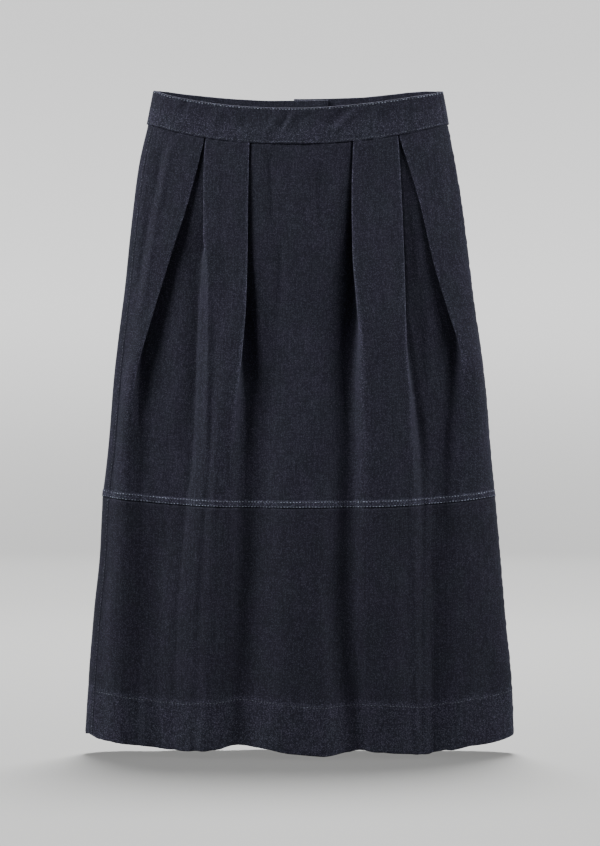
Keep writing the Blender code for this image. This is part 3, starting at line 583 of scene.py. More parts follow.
def upper_relief(place, x, drop, along, creases, shift):
    """An upper panel: soft below the waist, puckered at both ends, raised over the tier's top."""
    fall = (place - WAIST_SEAM) * UPPER_LENGTH
    above = UPPER_LENGTH - fall
    soft = creased(creases, x, drop) + rippled(SOFT_WAVES, x, drop, shift)
    soft = soft * float(smooth(fall / WAIST_FADE)) * (1 - SEAM_CALM * bump(above, CALM_ABOVE))
    waist = pucker(AT_WAIST, rippled(SEAM_WAVES, along, 0.0, shift), fall)
    lap = pucker(AT_LAP, rippled(SEAM_WAVES, along, 3.0 * above, shift + 1.0), above)
    dips = STITCH_DIP * sum(bump(above - row, STITCH_DIP_WIDTH) for row in LAP_ROWS)
    rise = TIER_RISE * float(smooth((TIER_LAP + 0.5 * LAP_STEP - above) / LAP_STEP))
    roll = LAP_ROLL * float(smooth(1.0 - above / LAP_ROLL_WIDTH))
    return beside_seams(soft + waist + lap, drop, along) - dips + rise - roll


def front_relief(place, x, drop, along, creases, shift):
    """The front's relief: under the band its middle comes up level with the pleats beside it."""
    fall = (place - WAIST_SEAM) * UPPER_LENGTH
    middle = (smooth((x - WAIST_RISE_FROM) / WAIST_RISE_EDGE)
              * smooth((WAIST_RISE_TO - x) / WAIST_RISE_EDGE))
    rise = WAIST_RISE * bump(fall, WAIST_RISE_REACH) * middle
    rise = rise - WAIST_DITCH * float(bump(fall, WAIST_DITCH_WIDTH))
    return upper_relief(place, x, drop, along, creases, shift) + rise


def tier_relief(place, x, drop, along, creases, shift):
    """A tier: soft in the middle, puckered under the lap, roped over its turned-up hem."""
    fall = (place - TIER_SEAM) * TIER_LENGTH
    above = TIER_LENGTH - fall
    soft = creased(creases, x, drop) + rippled(SOFT_WAVES, x, drop, shift)
    soft = soft * (1 - SEAM_CALM * float(bump(fall, CALM_BELOW)))
    top = pucker(BELOW_LAP, rippled(SEAM_WAVES, along, -2.0 * fall, shift + 1.0), fall)
    turned = float(smooth((HEM_TURN_UP + 6.0 - above) / 8.0))
    rope = rippled(SEAM_WAVES, ROPE_SPREAD * along, 0.0, ROPE_LEAN * above + shift)
    hem = HEM_PUCKER * rope * turned * (
        ROPE_LEAST + (1 - ROPE_LEAST) * float(bump(above - ROPE_HEIGHT, ROPE_WIDTH)))
    hem += ROPE_EDGE * HEM_PUCKER * rope * float(bump(above, ROPE_EDGE_WIDTH))
    dip = STITCH_DIP * float(bump(above - HEM_ROW, STITCH_DIP_WIDTH))
    ridge = HEM_RIDGE * float(smooth((HEM_TURN_UP + 1.2 - above) / 2.4))
    return beside_seams(soft + top + hem, drop, along) - dip + ridge


def dressed(shape, place, section, lift=0.0):
    """Finished points of a section, with its panel's relief and a lift, and the length along."""
    bearings, heights, _ = section
    x, drop = spot(place, bearings)
    along = arc(skin(place, bearings, heights))
    laid = shape.relief(place, x, drop, along, shape.creases, shape.shift) + lift
    return skin(place, bearings, heights, laid), along


# ---- the panels: a section, a relief and a table of creases each ----

PanelShape = namedtuple("PanelShape", "section relief creases shift middle")


def front_shape(grain, relief, creases):
    return PanelShape(lambda place: front_section(place, grain), relief, creases, 0.0, 0.5)


def back_shape(first_seam, last_seam, columns, relief, shift, middle):
    """A back piece between two upright seams."""
    def section(place):
        return back_section(place, seam_bearing(place, first_seam, 1),
                            seam_bearing(place, last_seam, -1), columns)

    return PanelShape(section, relief, BACK_CREASES, shift, middle)


SHAPES = {
    "front_panel": front_shape(UPPER_GRAIN, front_relief, FRONT_CREASES),
    "back_panel_left": back_shape(LEFT_SEAM, BACK_SEAM, 112, upper_relief, 2.0, 1.0),
    "back_panel_right": back_shape(BACK_SEAM, RIGHT_SEAM + 360.0, 120, upper_relief, 3.1, 0.0),
    "front_tier": front_shape(TIER_GRAIN, tier_relief, FRONT_CREASES + TIER_CREASES),
    "back_tier": back_shape(LEFT_SEAM, RIGHT_SEAM + 360.0, 236, tier_relief, 2.0, 0.5),
}


def falls_between(first, last, step, fine_spots):
    """Distances down a panel: even steps, with close rows round the stitched places."""
    falls = list(np.linspace(first, last, int(round((last - first) / step)) + 1))
    for low, high in fine_spots:
        near, far = low - 0.4 * step, high + 0.4 * step
        falls = [fall for fall in falls if not near < fall < far or fall in (first, last)]
        falls += list(np.linspace(low, high, int(round((high - low) / FINE_STEP)) + 1))
    return np.array(sorted(falls))


def upper_falls():
    end = UPPER_LENGTH - SEAM_GAP
    return falls_between(-SEAM_TUCK, end, UPPER_STEP,
                         [(-SEAM_TUCK, 4.2), (UPPER_LENGTH - TIER_LAP - 2.6, end)])


def tier_falls():
    row = TIER_LENGTH - HEM_ROW
    return falls_between(0.0, TIER_LENGTH, TIER_STEP, [(row - 3.4, row + 2.4)])


# ---- making meshes ----

def new_object(name, mesh, *materials):
    item = bpy.data.objects.new(name, mesh)
    for material in materials:
        item.data.materials.append(material)
    bpy.context.scene.collection.objects.link(item)
    return item


def cloth_grid(points, weave, wear):
    """An open sheet that faces outwards, from rows of points with their place in the weave."""
    down, across = points.shape[:2]
    bm = bmesh.new()
    bmesh.ops.create_grid(bm, x_segments=across - 1, y_segments=down - 1, size=1.0)
    places = np.array([vert.co[:2] for vert in bm.verts])
    column = np.rint((places[:, 0] + 1) / 2 * (across - 1)).astype(int)
    row = down - 1 - np.rint((places[:, 1] + 1) / 2 * (down - 1)).astype(int)
    worn = bm.verts.layers.float.new("wear")
    for vert, at, amount in zip(bm.verts, points[row, column], wear[row, column]):
        vert.co = at
        vert[worn] = amount
    woven = weave[row, column]
    layer = bm.loops.layers.uv.new("weave")
    bm.verts.index_update()
    for face in bm.faces:
        face.smooth = True
        for loop in face.loops:
            loop[layer].uv = woven[loop.vert.index]
    return bm


def to_mesh(bm, name):
    mesh = bpy.data.meshes.new(name)
    bm.to_mesh(mesh)
    bm.free()
    return mesh


def thicken(item, thickness, inner_slot=0):
    """Give a sheet its wall, half of it to each side; its inside takes the given material slot."""
    wall = item.modifiers.new("cloth", "SOLIDIFY")
    wall.thickness = thickness
    wall.offset = 0.0
    wall.use_even_offset = True
    wall.material_offset = inner_slot


def sheet_rows(shape, places, downs, lift=0.0):
    """Points, weave and wear of a panel's rows; downs are their places down the weave."""
    points, weave, wear = [], [], []
    for place, down in zip(places, downs):
        section = shape.section(place)
        row, along = dressed(shape, place, section, lift)
        points.append(row)
        start = along[int(shape.middle * (len(along) - 1))]
        weave.append(np.stack([(along - start) * MM + shape.shift,
                               np.full(len(along), -down * MM)], -1))
        wear.append(section[2])
    return np.array(points), np.array(weave), np.array(wear)


def make_sheet(name, rows, face, reverse, cloth):
    """A panel's cloth, from its points, weave and wear."""
    item = new_object(name + "_cloth", to_mesh(cloth_grid(*rows), name), face, reverse)
    thicken(item, cloth, 1)
    return item


def make_upper(name, face, reverse, cloth):
    falls = upper_falls()
    places = WAIST_SEAM + np.where(falls < 0, falls / BAND_HEIGHT, falls / UPPER_LENGTH)
    points, weave, wear = sheet_rows(SHAPES[name], places, falls)
    above = UPPER_LENGTH - falls
    rows = WEAR.row * sum(bump(above - row, 1.3) for row in LAP_ROWS)
    between = WEAR.row * smooth(above / 1.2) * smooth((TIER_LAP - above) / 1.2)
    worn = np.maximum(rows + WEAR.zone * bump(above - TIER_LAP, 1.0), between)
    wear = np.maximum(wear, worn[:, None])
    return make_sheet(name, (points, weave, wear), face, reverse, cloth)


def make_tier(name, face, reverse, cloth):
    """The tier's cloth in one length: down to the hem, round its fold and up inside."""
    shape = SHAPES[name]
    falls = tier_falls()
    points, weave, wear = sheet_rows(shape, TIER_SEAM + falls / TIER_LENGTH, falls)
    above = TIER_LENGTH - falls
    edge = WEAR.edge * bump(above, 2.2) + WEAR.row * bump(above - HEM_ROW, 5.5)
    edge = np.maximum(edge, WEAR.zone * smooth((HEM_TURN_UP + 8.0 - above) / 16.0))
    wear = np.maximum(wear, edge[:, None])
    inner = sheet_rows(shape, [HEM], [0.0], -2 * HEM_FOLD)[0][0]
    fold, fold_weave = [], []
    for turn in (0.25, 0.5, 0.75):
        share = 0.5 * (1 - math.cos(math.pi * turn))
        under = np.array([0.0, 0.0, HEM_FOLD * MM * math.sin(math.pi * turn)])
        fold.append(points[-1] + (inner - points[-1]) * share - under)
        fold_weave.append(weave[-1] - np.array([0.0, HEM_FOLD * MM * math.pi * turn]))
    up = falls[::-1][above[::-1] < HEM_TURN_UP]
    back, back_weave, _ = sheet_rows(shape, TIER_SEAM + up / TIER_LENGTH,
                                     2 * TIER_LENGTH - up, -2 * HEM_FOLD)
    inside = np.zeros((len(fold) + len(back), points.shape[1]))
    inside[:len(fold) + 2] = WEAR.row
    rows = (np.concatenate([points, fold, back]), np.concatenate([weave, fold_weave, back_weave]),
            np.concatenate([wear, inside]))
    return make_sheet(name, rows, face, reverse, cloth)


# ---- waistband ----

def band_ends():
    wide, middle = half_width(BAND_TOP), centre_x(BAND_TOP)
    outer = math.pi + math.asin((middle - BAND_OUTER_END) / wide)
    under = -math.pi - math.asin((BAND_UNDER_END - middle) / wide)
    ramp_start = -math.pi + math.asin((middle - BAND_OUTER_END + UNDERLAP_RAMP) / wide)
    ramp_end = -math.pi + math.asin((middle - BAND_OUTER_END + UNDERLAP_CLEAR) / wide)
    return under, outer, ramp_start, ramp_end


def band_offsets(bearings):
    """Height of the band's middle: the end that passes below steps inwards."""
    _, _, ramp_start, ramp_end = band_ends()
    share = smooth((ramp_start - bearings) / (ramp_start - ramp_end))
    return BAND_OFFSET + (UNDERLAP_INSET - BAND_OFFSET) * share


def band_stations():
    """Bearings round the band at even lengths of cloth, and the length along it at each."""
    under, outer, _, _ = band_ends()
    dense = np.linspace(under, outer, 4001)
    along = arc(skin(BAND_MIDDLE, dense, BAND_OFFSET + 0 * dense))
    even = np.linspace(0.0, along[-1], int(along[-1] / BAND_STEP) + 1)
    bearings = np.interp(even, along, dense)
    return bearings, arc(skin(BAND_MIDDLE, bearings, BAND_OFFSET + 0 * bearings))


def band_relief(place, bearings, along):
    """Creases, waves and the puckers of its two stitch rows."""
    x, drop = spot(place, bearings)
    front = np.cos(bearings) > 0
    soft = np.where(front, creased(BAND_CREASES, x, drop), creased(BACK_BAND_CREASES, x, drop))
    side = smooth(np.abs(np.cos(bearings)) / BAND_SIDE_FADE)
    low = BAND_HEIGHT * (1 - place)
    waves = BAND_PUCKER * rippled(SEAM_WAVES, along, 2.0 * low, 0.6)
    puckers = (pucker(FOOT_PUCKER, waves, low) + pucker(TOP_PUCKER, waves, BAND_HEIGHT - low)
               + ALL_OVER_PUCKER * waves)
    soft = soft + BAND_WAVE * rippled(SOFT_WAVES, x, drop, 1.0)
    ends = np.minimum(along, along[-1] - along)
    return soft * side * smooth(ends / BAND_END_FADE) + puckers * smooth(ends / PUCKER_END_FADE)


def band_profile():
    """Drop, height and wear round the band's cross-section: up outside, over the top and down."""
    half, foot, turn = 0.5 * BAND_THICK, BAND_HEIGHT - SEAM_GAP, BAND_FOOT_ROUND
    face = np.linspace(foot - turn - 1.0, BAND_ROUND + 0.4, BAND_FACE_ROWS)
    return [
        (foot, half - turn, 0.0), (foot - 0.2 * turn, half - 0.3 * turn, 0.6),
        (foot - turn, half, 0.5),
        *((down, half, WEAR.zone * float(smooth((down - 14.0) / 16.0))) for down in face),
        *((BAND_ROUND * (1 - math.sin(a)), half * math.cos(a), WEAR.fold * math.sin(a) ** 0.5)
          for a in np.linspace(0.0, math.pi, 9)),
        *((down, -half, 0.0) for down in face[::-1]),
        (foot - turn, -half, 0.2), (foot - 0.2 * turn, 0.3 * turn - half, 0.2),
        (foot, turn - half, 0.0),
    ]


def band_row(down, height, bearings, along):
    """One row of the band, with the dips of its two stitch rows."""
    place = down / BAND_HEIGHT
    dips = (bump(down - BAND_TOP_ROW, STITCH_DIP_WIDTH)
            + bump(BAND_HEIGHT - SEAM_GAP - down - BAND_FOOT_ROW, STITCH_DIP_WIDTH)) * STITCH_DIP
    side = math.copysign(1.0, height)
    puffed = height + BAND_PUFF * side * math.sin(math.pi * place) - side * dips
    laid = puffed + band_relief(place, bearings, along)
    points = skin(place, bearings, band_offsets(bearings), laid)
    points[:, 2] += np.interp(np.degrees(bearings), *zip(*BAND_LIFTS)) * (1 - place) * MM
    return points


def make_band(face):
    """The band as one closed strip, lapped at the back."""
    bearings, along = band_stations()
    profile = band_profile()
    rows, weave, wear, down_weave = [], [], [], 0.0
    for number, (down, height, worn) in enumerate(profile):
        rows.append(band_row(down, height, bearings, along))
        if number:
            down_weave += math.dist(profile[number - 1][:2], (down, height))
        weave.append(np.stack([along * MM + 5.0, np.full(len(along), -down_weave * MM)], -1))
        wear.append(np.full(len(along), worn))
    rows.append(rows[0])
    weave.append(weave[-1] - np.array([0.0, BAND_THICK * MM]))
    wear.append(wear[0])
    bm = cloth_grid(np.array(rows[::-1]), np.array(weave[::-1]), np.array(wear[::-1]))
    bmesh.ops.remove_doubles(bm, verts=bm.verts, dist=SAME_POINT)
    bmesh.ops.holes_fill(bm, edges=[e for e in bm.edges if e.is_boundary], sides=len(rows))
    bmesh.ops.recalc_face_normals(bm, faces=bm.faces)
    return new_object("waistband_cloth", to_mesh(bm, "waistband"), face)


# ---- stitching ----

def make_spindle():
    """The points and faces of a small spindle along X, of radius 1, with blunt ends."""
    bm = bmesh.new()
    bmesh.ops.create_uvsphere(bm, u_segments=6, v_segments=5, radius=1.0)
    bmesh.ops.rotate(bm, verts=bm.verts, matrix=Matrix.Rotation(math.pi / 2, 3, "Y"))
    points = np.array([vert.co[:] for vert in bm.verts])
    points[:, 0] = np.sign(points[:, 0]) * np.abs(points[:, 0]) ** 0.75
    faces = [[vert.index for vert in face.verts] for face in bm.faces]
    bm.free()
    return points, faces


def spindle_mesh(name, places):
    """One mesh of spindles; each place gives a middle and the spindle's three half-axes."""
    spindle, faces = make_spindle()
    verts = [middle + spindle @ np.array(axes) for middle, axes in places]
    polygons = [[number * len(spindle) + index for index in face]
                for number in range(len(verts)) for face in faces]
    mesh = bpy.data.meshes.new(name)
    mesh.from_pydata(np.concatenate(verts), [], polygons)
    mesh.shade_smooth()
    return mesh, len(spindle)


def read_line(values, along, at):
    """Values of a line's three columns at lengths along it."""
    return np.stack([np.interp(at, along, values[:, k]) for k in range(3)], -1)


def lay_stitches(name, lines, length, gap, thread, material):
    """Joined stitches along lines; each line gives its points and the way out of the cloth."""
    chance = np.random.default_rng(7)
    places = []
    for points, out in lines:
        along = arc(points) * MM
        count = int(along[-1] / (length + gap))
        pitch = along[-1] / count
        starts = np.arange(count) * pitch
        share = length / (length + gap)
        first = read_line(points, along, starts)
        last = read_line(points, along, starts + share * pitch)
        middle, run = 0.5 * (first + last), last - first
        size = np.linalg.norm(run, axis=1, keepdims=True)
        run = run / size
        up = read_line(out, along, starts + 0.5 * share * pitch)
        up -= run * (up * run).sum(1, keepdims=True)
        up /= np.linalg.norm(up, axis=1, keepdims=True)
        cross = np.cross(up, run)
        tilt = chance.normal(0.0, STITCH_TILT, (count, 1))
        middle = middle + cross * chance.normal(0.0, STITCH_STRAY * MM, (count, 1))
        run, cross = run + cross * tilt, cross - run * tilt
        middle = middle + up * thread * STITCH_RISE
        axes = np.stack([run * 0.5 * size, cross * 0.5 * thread, up * STITCH_HEIGHT * thread], 1)
        places += list(zip(middle, axes))
    mesh, corners = spindle_mesh(name, places)
    fade = mesh.attributes.new("fade", "FLOAT", "POINT")
    fade.data.foreach_set("value", np.repeat(chance.uniform(-0.3, 1.5, len(places)), corners))
    mesh.update()
    return new_object(name, mesh, material)


def outward(points, below):
    """The way out of the cloth along a row, from the row just below it."""
    out = np.cross(below - points, np.gradient(points, axis=0))
    return out / np.linalg.norm(out, axis=1, keepdims=True)


def row_line(name, place, lift):
    """A stitched line round a panel at one level."""
    shape = SHAPES[name]

    def at(level_place):
        front = name.startswith("front")
        section = front_section(level_place, LINE_GRAIN) if front else shape.section(level_place)
        return dressed(shape, level_place, section)

    points, along = at(place)
    out = outward(points, at(place + 0.5 / UPPER_LENGTH)[0])
    keep = (along > ROW_TRIM) & (along < along[-1] - ROW_TRIM)
    return points[keep] + out[keep] * lift * MM, out[keep]


def side_line(name, side, falls, first_place, length, lift):
    """A stitched line down a panel beside its first seam (side 1) or its last one (side -1)."""
    shape = SHAPES[name]
    points, out = [], []
    for fall in falls:
        place = first_place + fall / length
        bearings, heights, wear = shape.section(place)
        edge = bearings[0 if side > 0 else -1]
        shifted = edge + side * SIDE_ROW / bearing_speed(place, edge)
        pick = int(np.searchsorted(bearings, shifted))
        bits = np.array([np.insert(bearings, pick, shifted),
                         np.insert(heights, pick, np.interp(shifted, bearings, heights)),
                         np.insert(wear, pick, 0.0)])
        low, high = (dressed(shape, place, bits, lift_by)[0][pick] for lift_by in (0.0, 1.0))
        way = (high - low) / np.linalg.norm(high - low)
        points.append(low + way * lift * MM)
        out.append(way)
    return np.array(points), np.array(out)


def band_face_row(down, bearings, along):
    """A row of the band's outside, and the way out of the cloth along it."""
    points, below = (band_row(low, 0.5 * BAND_THICK, bearings, along) for low in (down, down + 0.5))
    return points, outward(points, below)


def band_line(down):
    """A stitched line along the outside of the band."""
    bearings, along = band_stations()
    points, out = band_face_row(down, bearings, along)
    keep = (along > BAND_START_TRIM) & (along < along[-1] - BAND_END_ROW)
    return points[keep], out[keep]


def band_end_line():
    """The line of stitches that closes the band's upper end."""
    bearings, along = band_stations()
    at = int(np.searchsorted(along, along[-1] - BAND_END_ROW))
    rows = [band_face_row(down, bearings, along)
            for down in np.linspace(BAND_TOP_ROW, BAND_HEIGHT - BAND_FOOT_ROW - SEAM_GAP, 24)]
    return np.array([points[at] for points, _ in rows]), np.array([out[at] for _, out in rows])


def make_stitching(length, gap, thread, material, shaded_thread):
    """Every visible row; the band's foot row, the hem rows and the side rows take a darker copy of
    the same thread, painted shade.
    """
    lift = 0.5 * CLOTH
    band = [band_line(BAND_TOP_ROW), band_end_line()]
    foot = [band_line(BAND_HEIGHT - SEAM_GAP - BAND_FOOT_ROW)]
    laps = [row_line(name, TIER_SEAM - row / UPPER_LENGTH, lift) for row in LAP_ROWS
            for name in ("front_panel", "back_panel_left", "back_panel_right")]
    hems = [row_line(name, HEM - HEM_ROW / TIER_LENGTH, lift)
            for name in ("front_tier", "back_tier")]
    upper = np.arange(3.0, UPPER_LENGTH - TIER_LAP - 1.0, SIDE_ROW_STEP)
    lower = np.arange(2.0, TIER_LENGTH - 1.0, SIDE_ROW_STEP)
    sides = [side_line(name, side, falls, first, panel_length, lift)
             for name, side, falls, first, panel_length in (
                 ("back_panel_left", 1, upper, WAIST_SEAM, UPPER_LENGTH),
                 ("back_panel_right", -1, upper, WAIST_SEAM, UPPER_LENGTH),
                 ("back_tier", 1, lower, TIER_SEAM, TIER_LENGTH),
                 ("back_tier", -1, lower, TIER_SEAM, TIER_LENGTH))]
    return [lay_stitches(name + "_stitching", lines, length, gap, thread * share, colour)
            for name, lines, share, colour in (
                ("waistband", band, 1.0, material), ("waistband_foot", foot, 0.85, shaded_thread),
                ("tier_seam", laps, 1.1, material), ("hem", hems, 0.85, shaded_thread),
                ("side_seam", sides, 0.75, shaded_thread))]


# ---- zip ----

def make_zip_tape(material, coil_material):
    """The tape behind the back seam and the coil on its inner side."""
    height = -(0.5 * CLOTH + SEAM_GAP + 0.5)
    side = np.linspace(-1.0, 1.0, ZIP_COLUMNS)
    rows, weave = [], []
    for fall in np.linspace(0.0, ZIP_LENGTH, 96):
        place = WAIST_SEAM + fall / UPPER_LENGTH
        reach = 0.5 * ZIP_TAPE_WIDTH / half_width(place)
        rows.append(skin(place, math.pi + reach * side, height + 0 * side))
        weave.append(np.stack([side * 0.5 * ZIP_TAPE_WIDTH * MM,
                               np.full(ZIP_COLUMNS, -fall * MM)], -1))
    rows, weave = np.array(rows), np.array(weave)
    bm = cloth_grid(rows, weave, np.zeros(rows.shape[:2]))
    tape = new_object("zip_tape_cloth", to_mesh(bm, "zip_tape"), material)
    thicken(tape, ZIP_TAPE_THICK * MM)
    centre = ZIP_COLUMNS // 2
    middle = rows[:, centre]
    inward = np.cross(np.gradient(middle, axis=0), np.gradient(rows, axis=1)[:, centre])
    inward /= np.linalg.norm(inward, axis=1, keepdims=True)
    inward *= -np.sign(inward[:, 1:2])
    along = arc(middle)
    turns = np.arange(4.0, along[-1] - 6.0, COIL_PITCH)
    ways = read_line(inward, along, turns)
    centres = read_line(middle, along, turns) + ways * (0.5 * ZIP_TAPE_THICK + COIL_HEIGHT) * MM
    centres[:, 0] += np.where(np.arange(len(turns)) % 2, COIL_STAGGER, -COIL_STAGGER) * MM
    across, down = (0.5 * COIL_WIDTH * MM, 0.0, 0.0), (0.0, 0.0, COIL_FILL * COIL_PITCH * MM)
    places = [(place, np.array([across, down, way * COIL_HEIGHT * MM]))
              for place, way in zip(centres, ways)]
    return tape, new_object("zip_coil", spindle_mesh("zip_coil", places)[0], coil_material)


def softened_copy(node, material):
    """A copy of a small metal node with its sharp edges rounded."""
    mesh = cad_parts[node].data.copy()
    mesh.name = node + "_metal"
    bm = bmesh.new()
    bm.from_mesh(mesh)
    bmesh.ops.remove_doubles(bm, verts=bm.verts, dist=SAME_POINT)
    bmesh.ops.dissolve_limit(bm, angle_limit=math.radians(2.0), verts=bm.verts, edges=bm.edges)
    sharp = [edge for edge in bm.edges
             if len(edge.link_faces) == 2 and edge.calc_face_angle() > math.radians(50)]
    bmesh.ops.bevel(bm, geom=sharp, offset=METAL_ROUND * MM, offset_type="OFFSET", segments=2,
                    profile=0.5, affect="EDGES", material=-1, clamp_overlap=True)
    for face in bm.faces:
        face.smooth = True
    bm.to_mesh(mesh)
    bm.free()
    mesh.materials.clear()
    item = new_object(node + "_metal", mesh, material)
    item.modifiers.new("shading", "WEIGHTED_NORMAL")
    return item


# ---- materials ----

class Wire:
    """A shader socket that takes part in Python sums."""

    def __init__(self, graph, socket):
        self.graph, self.socket = graph, socket


def add_sum(name, operation):
    """Let wires take part in one kind of sum, on either side of its sign."""
    setattr(Wire, f"__{name}__", lambda self, other: self.graph.math(operation, self, other))
    setattr(Wire, f"__r{name}__", lambda self, other: self.graph.math(operation, other, self))


for sum_name, sum_operation in (("add", "ADD"), ("sub", "SUBTRACT"), ("mul", "MULTIPLY"),
                                ("truediv", "DIVIDE"), ("pow", "POWER")):
    add_sum(sum_name, sum_operation)


class Graph:
    """A material's nodes, added with their settings first and then their inputs."""

    def __init__(self, name):
        self.material = bpy.data.materials.new(name)
        self.material.use_nodes = True
        self.tree = self.material.node_tree
        self.shader = self.tree.nodes["Principled BSDF"]

    def add(self, kind, settings, inputs, output=0):
        node = self.tree.nodes.new("ShaderNode" + kind)
        for key, value in settings.items():
            setattr(node, key, value)
        for key, value in inputs.items():
            self.put(node.inputs[key], value)
        return Wire(self, node.outputs[output])

    def put(self, socket, value):
        if isinstance(value, Wire):
            self.tree.links.new(value.socket, socket)
        else:
            socket.default_value = value

    def finish(self, **values):
        """Set the shader's inputs, named with underscores for spaces."""
        for name, value in values.items():
            self.put(self.shader.inputs[name.replace("_", " ")], value)
        return self.material

    def math(self, operation, *values):
        return self.add("Math", {"operation": operation}, dict(enumerate(values)))

    def vector(self, x, y):
        return self.add("CombineXYZ", {}, {0: x, 1: y})

    def split(self, vector):
        node = self.tree.nodes.new("ShaderNodeSeparateXYZ")
        self.put(node.inputs[0], vector)
        return [Wire(self, output) for output in node.outputs]

    def weave_place(self):
        """Millimetres across and down the weave, from the cloth's own map."""
        across, down, _ = self.split(self.add("UVMap", {"uv_map": "weave"}, {}))
        return across * 1000.0, down * 1000.0

    def attribute(self, name):
        return self.add("Attribute", {"attribute_name": name}, {}, 2)

    def object_place(self):
        return self.add("TexCoord", {}, {}, 3)

    def object_noise(self, scale, detail):
        return self.add("TexNoise", {}, {"Vector": self.object_place(), "Scale": scale,
                                         "Detail": detail})

    def noise(self, x, y, detail=2.0, rough=0.5):
        return self.add("TexNoise", {"noise_dimensions": "2D"},
                        {"Vector": self.vector(x, y), "Scale": 1.0, "Detail": detail,
                         "Roughness": rough})

    def between(self, value, low, high):
        return self.add("MapRange", {"interpolation_type": "SMOOTHSTEP", "clamp": True},
                        {"Value": value, "From Min": low, "From Max": high})

    def wave(self, value):
        return self.math("SINE", value * (2 * math.pi))

    def cells(self, x, y):
        """A value of its own for every cell of a grid."""
        corner = self.vector(self.math("FLOOR", x), self.math("FLOOR", y))
        return self.add("TexWhiteNoise", {"noise_dimensions": "2D"}, {"Vector": corner})

    def mixed(self, share, first, second, blend="MIX"):
        """Two colours mixed; each is a wire or a fixed colour."""
        pair = [tint if isinstance(tint, Wire) else (*tint, 1.0) for tint in (first, second)]
        return self.add("Mix", {"data_type": "RGBA", "blend_type": blend, "clamp_factor": True},
                        {"Factor": share, 6: pair[0], 7: pair[1]}, 2)

    def bumped(self, height, distance, strength, under=None):
        inputs = {"Height": height, "Distance": distance, "Strength": strength}
        if under is not None:
            inputs["Normal"] = under
        return self.add("Bump", {}, inputs)


def scaled(colour, share):
    return tuple(share * part for part in colour)


def denim(name, warp, weft, pale, wear_share):
    """Indigo twill: dark warp over pale weft, with slubs, specks and worn edges."""
    graph = Graph(name)
    across, down = graph.weave_place()
    wear = graph.attribute("wear")
    yarn = across / YARN_WIDTH
    twill = graph.wave((yarn + down / PICK_WIDTH) / TWILL_STEP)
    share, fine = pale + TWILL_PALE * twill, TWILL_HIGH * twill + RIB_HIGH * graph.wave(yarn)
    noises = {}
    for row in UNEVEN:
        noise = graph.noise(across / row.wide + row.lean * down + row.start, down / row.tall,
                            row.detail, row.rough) - 0.5
        share, fine = share + row.pale * noise, fine + row.high * noise
        noises[row.name] = noise
    specks = graph.cells(across / SPECK_WIDTH, down / SPECK_HEIGHT) ** SPECK_RARITY
    share = share + SPECK_PALE * specks * (1.0 + SPECK_WORN * wear)
    share = share + wear_share * wear * (1.0 + GRIT_WORN * noises["grit"])
    tint = graph.mixed(graph.between(noises["patch"], -0.2, 0.2), WARM_PATCH, COOL_PATCH)
    colour = graph.mixed(1.0, graph.mixed(share, warp, weft), tint, "MULTIPLY")
    large = graph.bumped(noises["crumple"], 1.1 * MM, 0.5)
    small = graph.bumped(fine, 0.11 * MM, 0.55, large)
    return graph.finish(Base_Color=colour, Roughness=0.86 + 0.10 * noises["grit"], Normal=small,
                        Specular_IOR_Level=0.14, Sheen_Weight=0.03, Sheen_Roughness=0.45,
                        Sheen_Tint=(0.55, 0.60, 0.72, 1.0))


def thread_material(name, colour):
    """Cotton thread, faded unevenly from stitch to stitch."""
    graph = Graph(name)
    grit, patch = graph.object_noise(900.0, 1.0), graph.object_noise(38.0, 1.0)
    share = 0.75 * graph.attribute("fade") + 0.7 * (patch - 0.5) + 0.3 * (grit - 0.5)
    return graph.finish(Base_Color=graph.mixed(share, scaled(colour, 0.3), colour), Roughness=0.62,
                        Normal=graph.bumped(grit, 0.1 * MM, 0.3), Specular_IOR_Level=0.3)


def tape_material(name, colour):
    """Ribbed zip tape."""
    graph = Graph(name)
    across, down = graph.weave_place()
    rib = graph.wave(across / 0.9) * graph.wave(down / 0.7)
    tint = graph.mixed(0.35 + 0.3 * rib, colour, scaled(colour, 2.4))
    return graph.finish(Base_Color=tint, Roughness=0.82, Normal=graph.bumped(rib, 0.15 * MM, 0.5))


def metal_material(name, colour):
    """Dull plated metal with a light haze."""
    graph = Graph(name)
    haze = graph.object_noise(420.0, 3.0)
    tint = graph.mixed(graph.between(haze, 0.35, 0.65), scaled(colour, 0.55), colour)
    return graph.finish(Base_Color=tint, Metallic=1.0, Roughness=0.26 + 0.24 * haze,
                        Normal=graph.bumped(haze, 0.05 * MM, 0.4))


def paper_material(name, floor, wall):
    """Studio paper, painted darkest near the skirt as painted shade and paler far out and up the wall
    as painted light.
    """
    graph = Graph(name)
    x, y, z = graph.split(graph.object_place())
    painted_falloff_share = graph.between((x * x + y * y) ** 0.5, 2.5, 6.0)
    # The far floor's colour is painted partway to the wall's: painted light.
    far = tuple(near + 0.34 * (high - near) for near, high in zip(floor, wall))
    tint = graph.mixed(painted_falloff_share, floor, far)
    tint = graph.mixed(graph.between(z, -FLOOR_DROP, 1.0 - FLOOR_DROP), tint, wall)
    return graph.finish(Base_Color=tint, Roughness=0.95, Specular_IOR_Level=0.05)


FINISHES = {
    "indigo_denim": lambda name, look: denim(name, look.warp, look.weft, 0.03, 0.11),
    # The tier's finish is the same denim painted darker: painted shade.
    "tier_denim": lambda name, look: denim(name, scaled(look.warp, TIER_PAINTED_SHADE),
                                           scaled(look.weft, TIER_PAINTED_SHADE), 0.03, 0.11),
    "denim_reverse": lambda name, look: denim(name, scaled(look.warp, 1.8), look.weft, 0.34, 0.1),
    "topstitch_thread": lambda name, look: thread_material(name, look.thread),
    # The same thread painted darker, as painted shade.
    "plain_thread": lambda name, look: thread_material(name, scaled(look.thread, 0.42)),
    "woven_tape": lambda name, look: tape_material(name, look.tape),
    "coil_nylon": lambda name, look: thread_material(name, scaled(look.tape, 4.0)),
    "plated_metal": lambda name, look: metal_material(name, look.metal),
    "studio_paper": lambda name, look: paper_material(name, look.floor, look.wall),
}


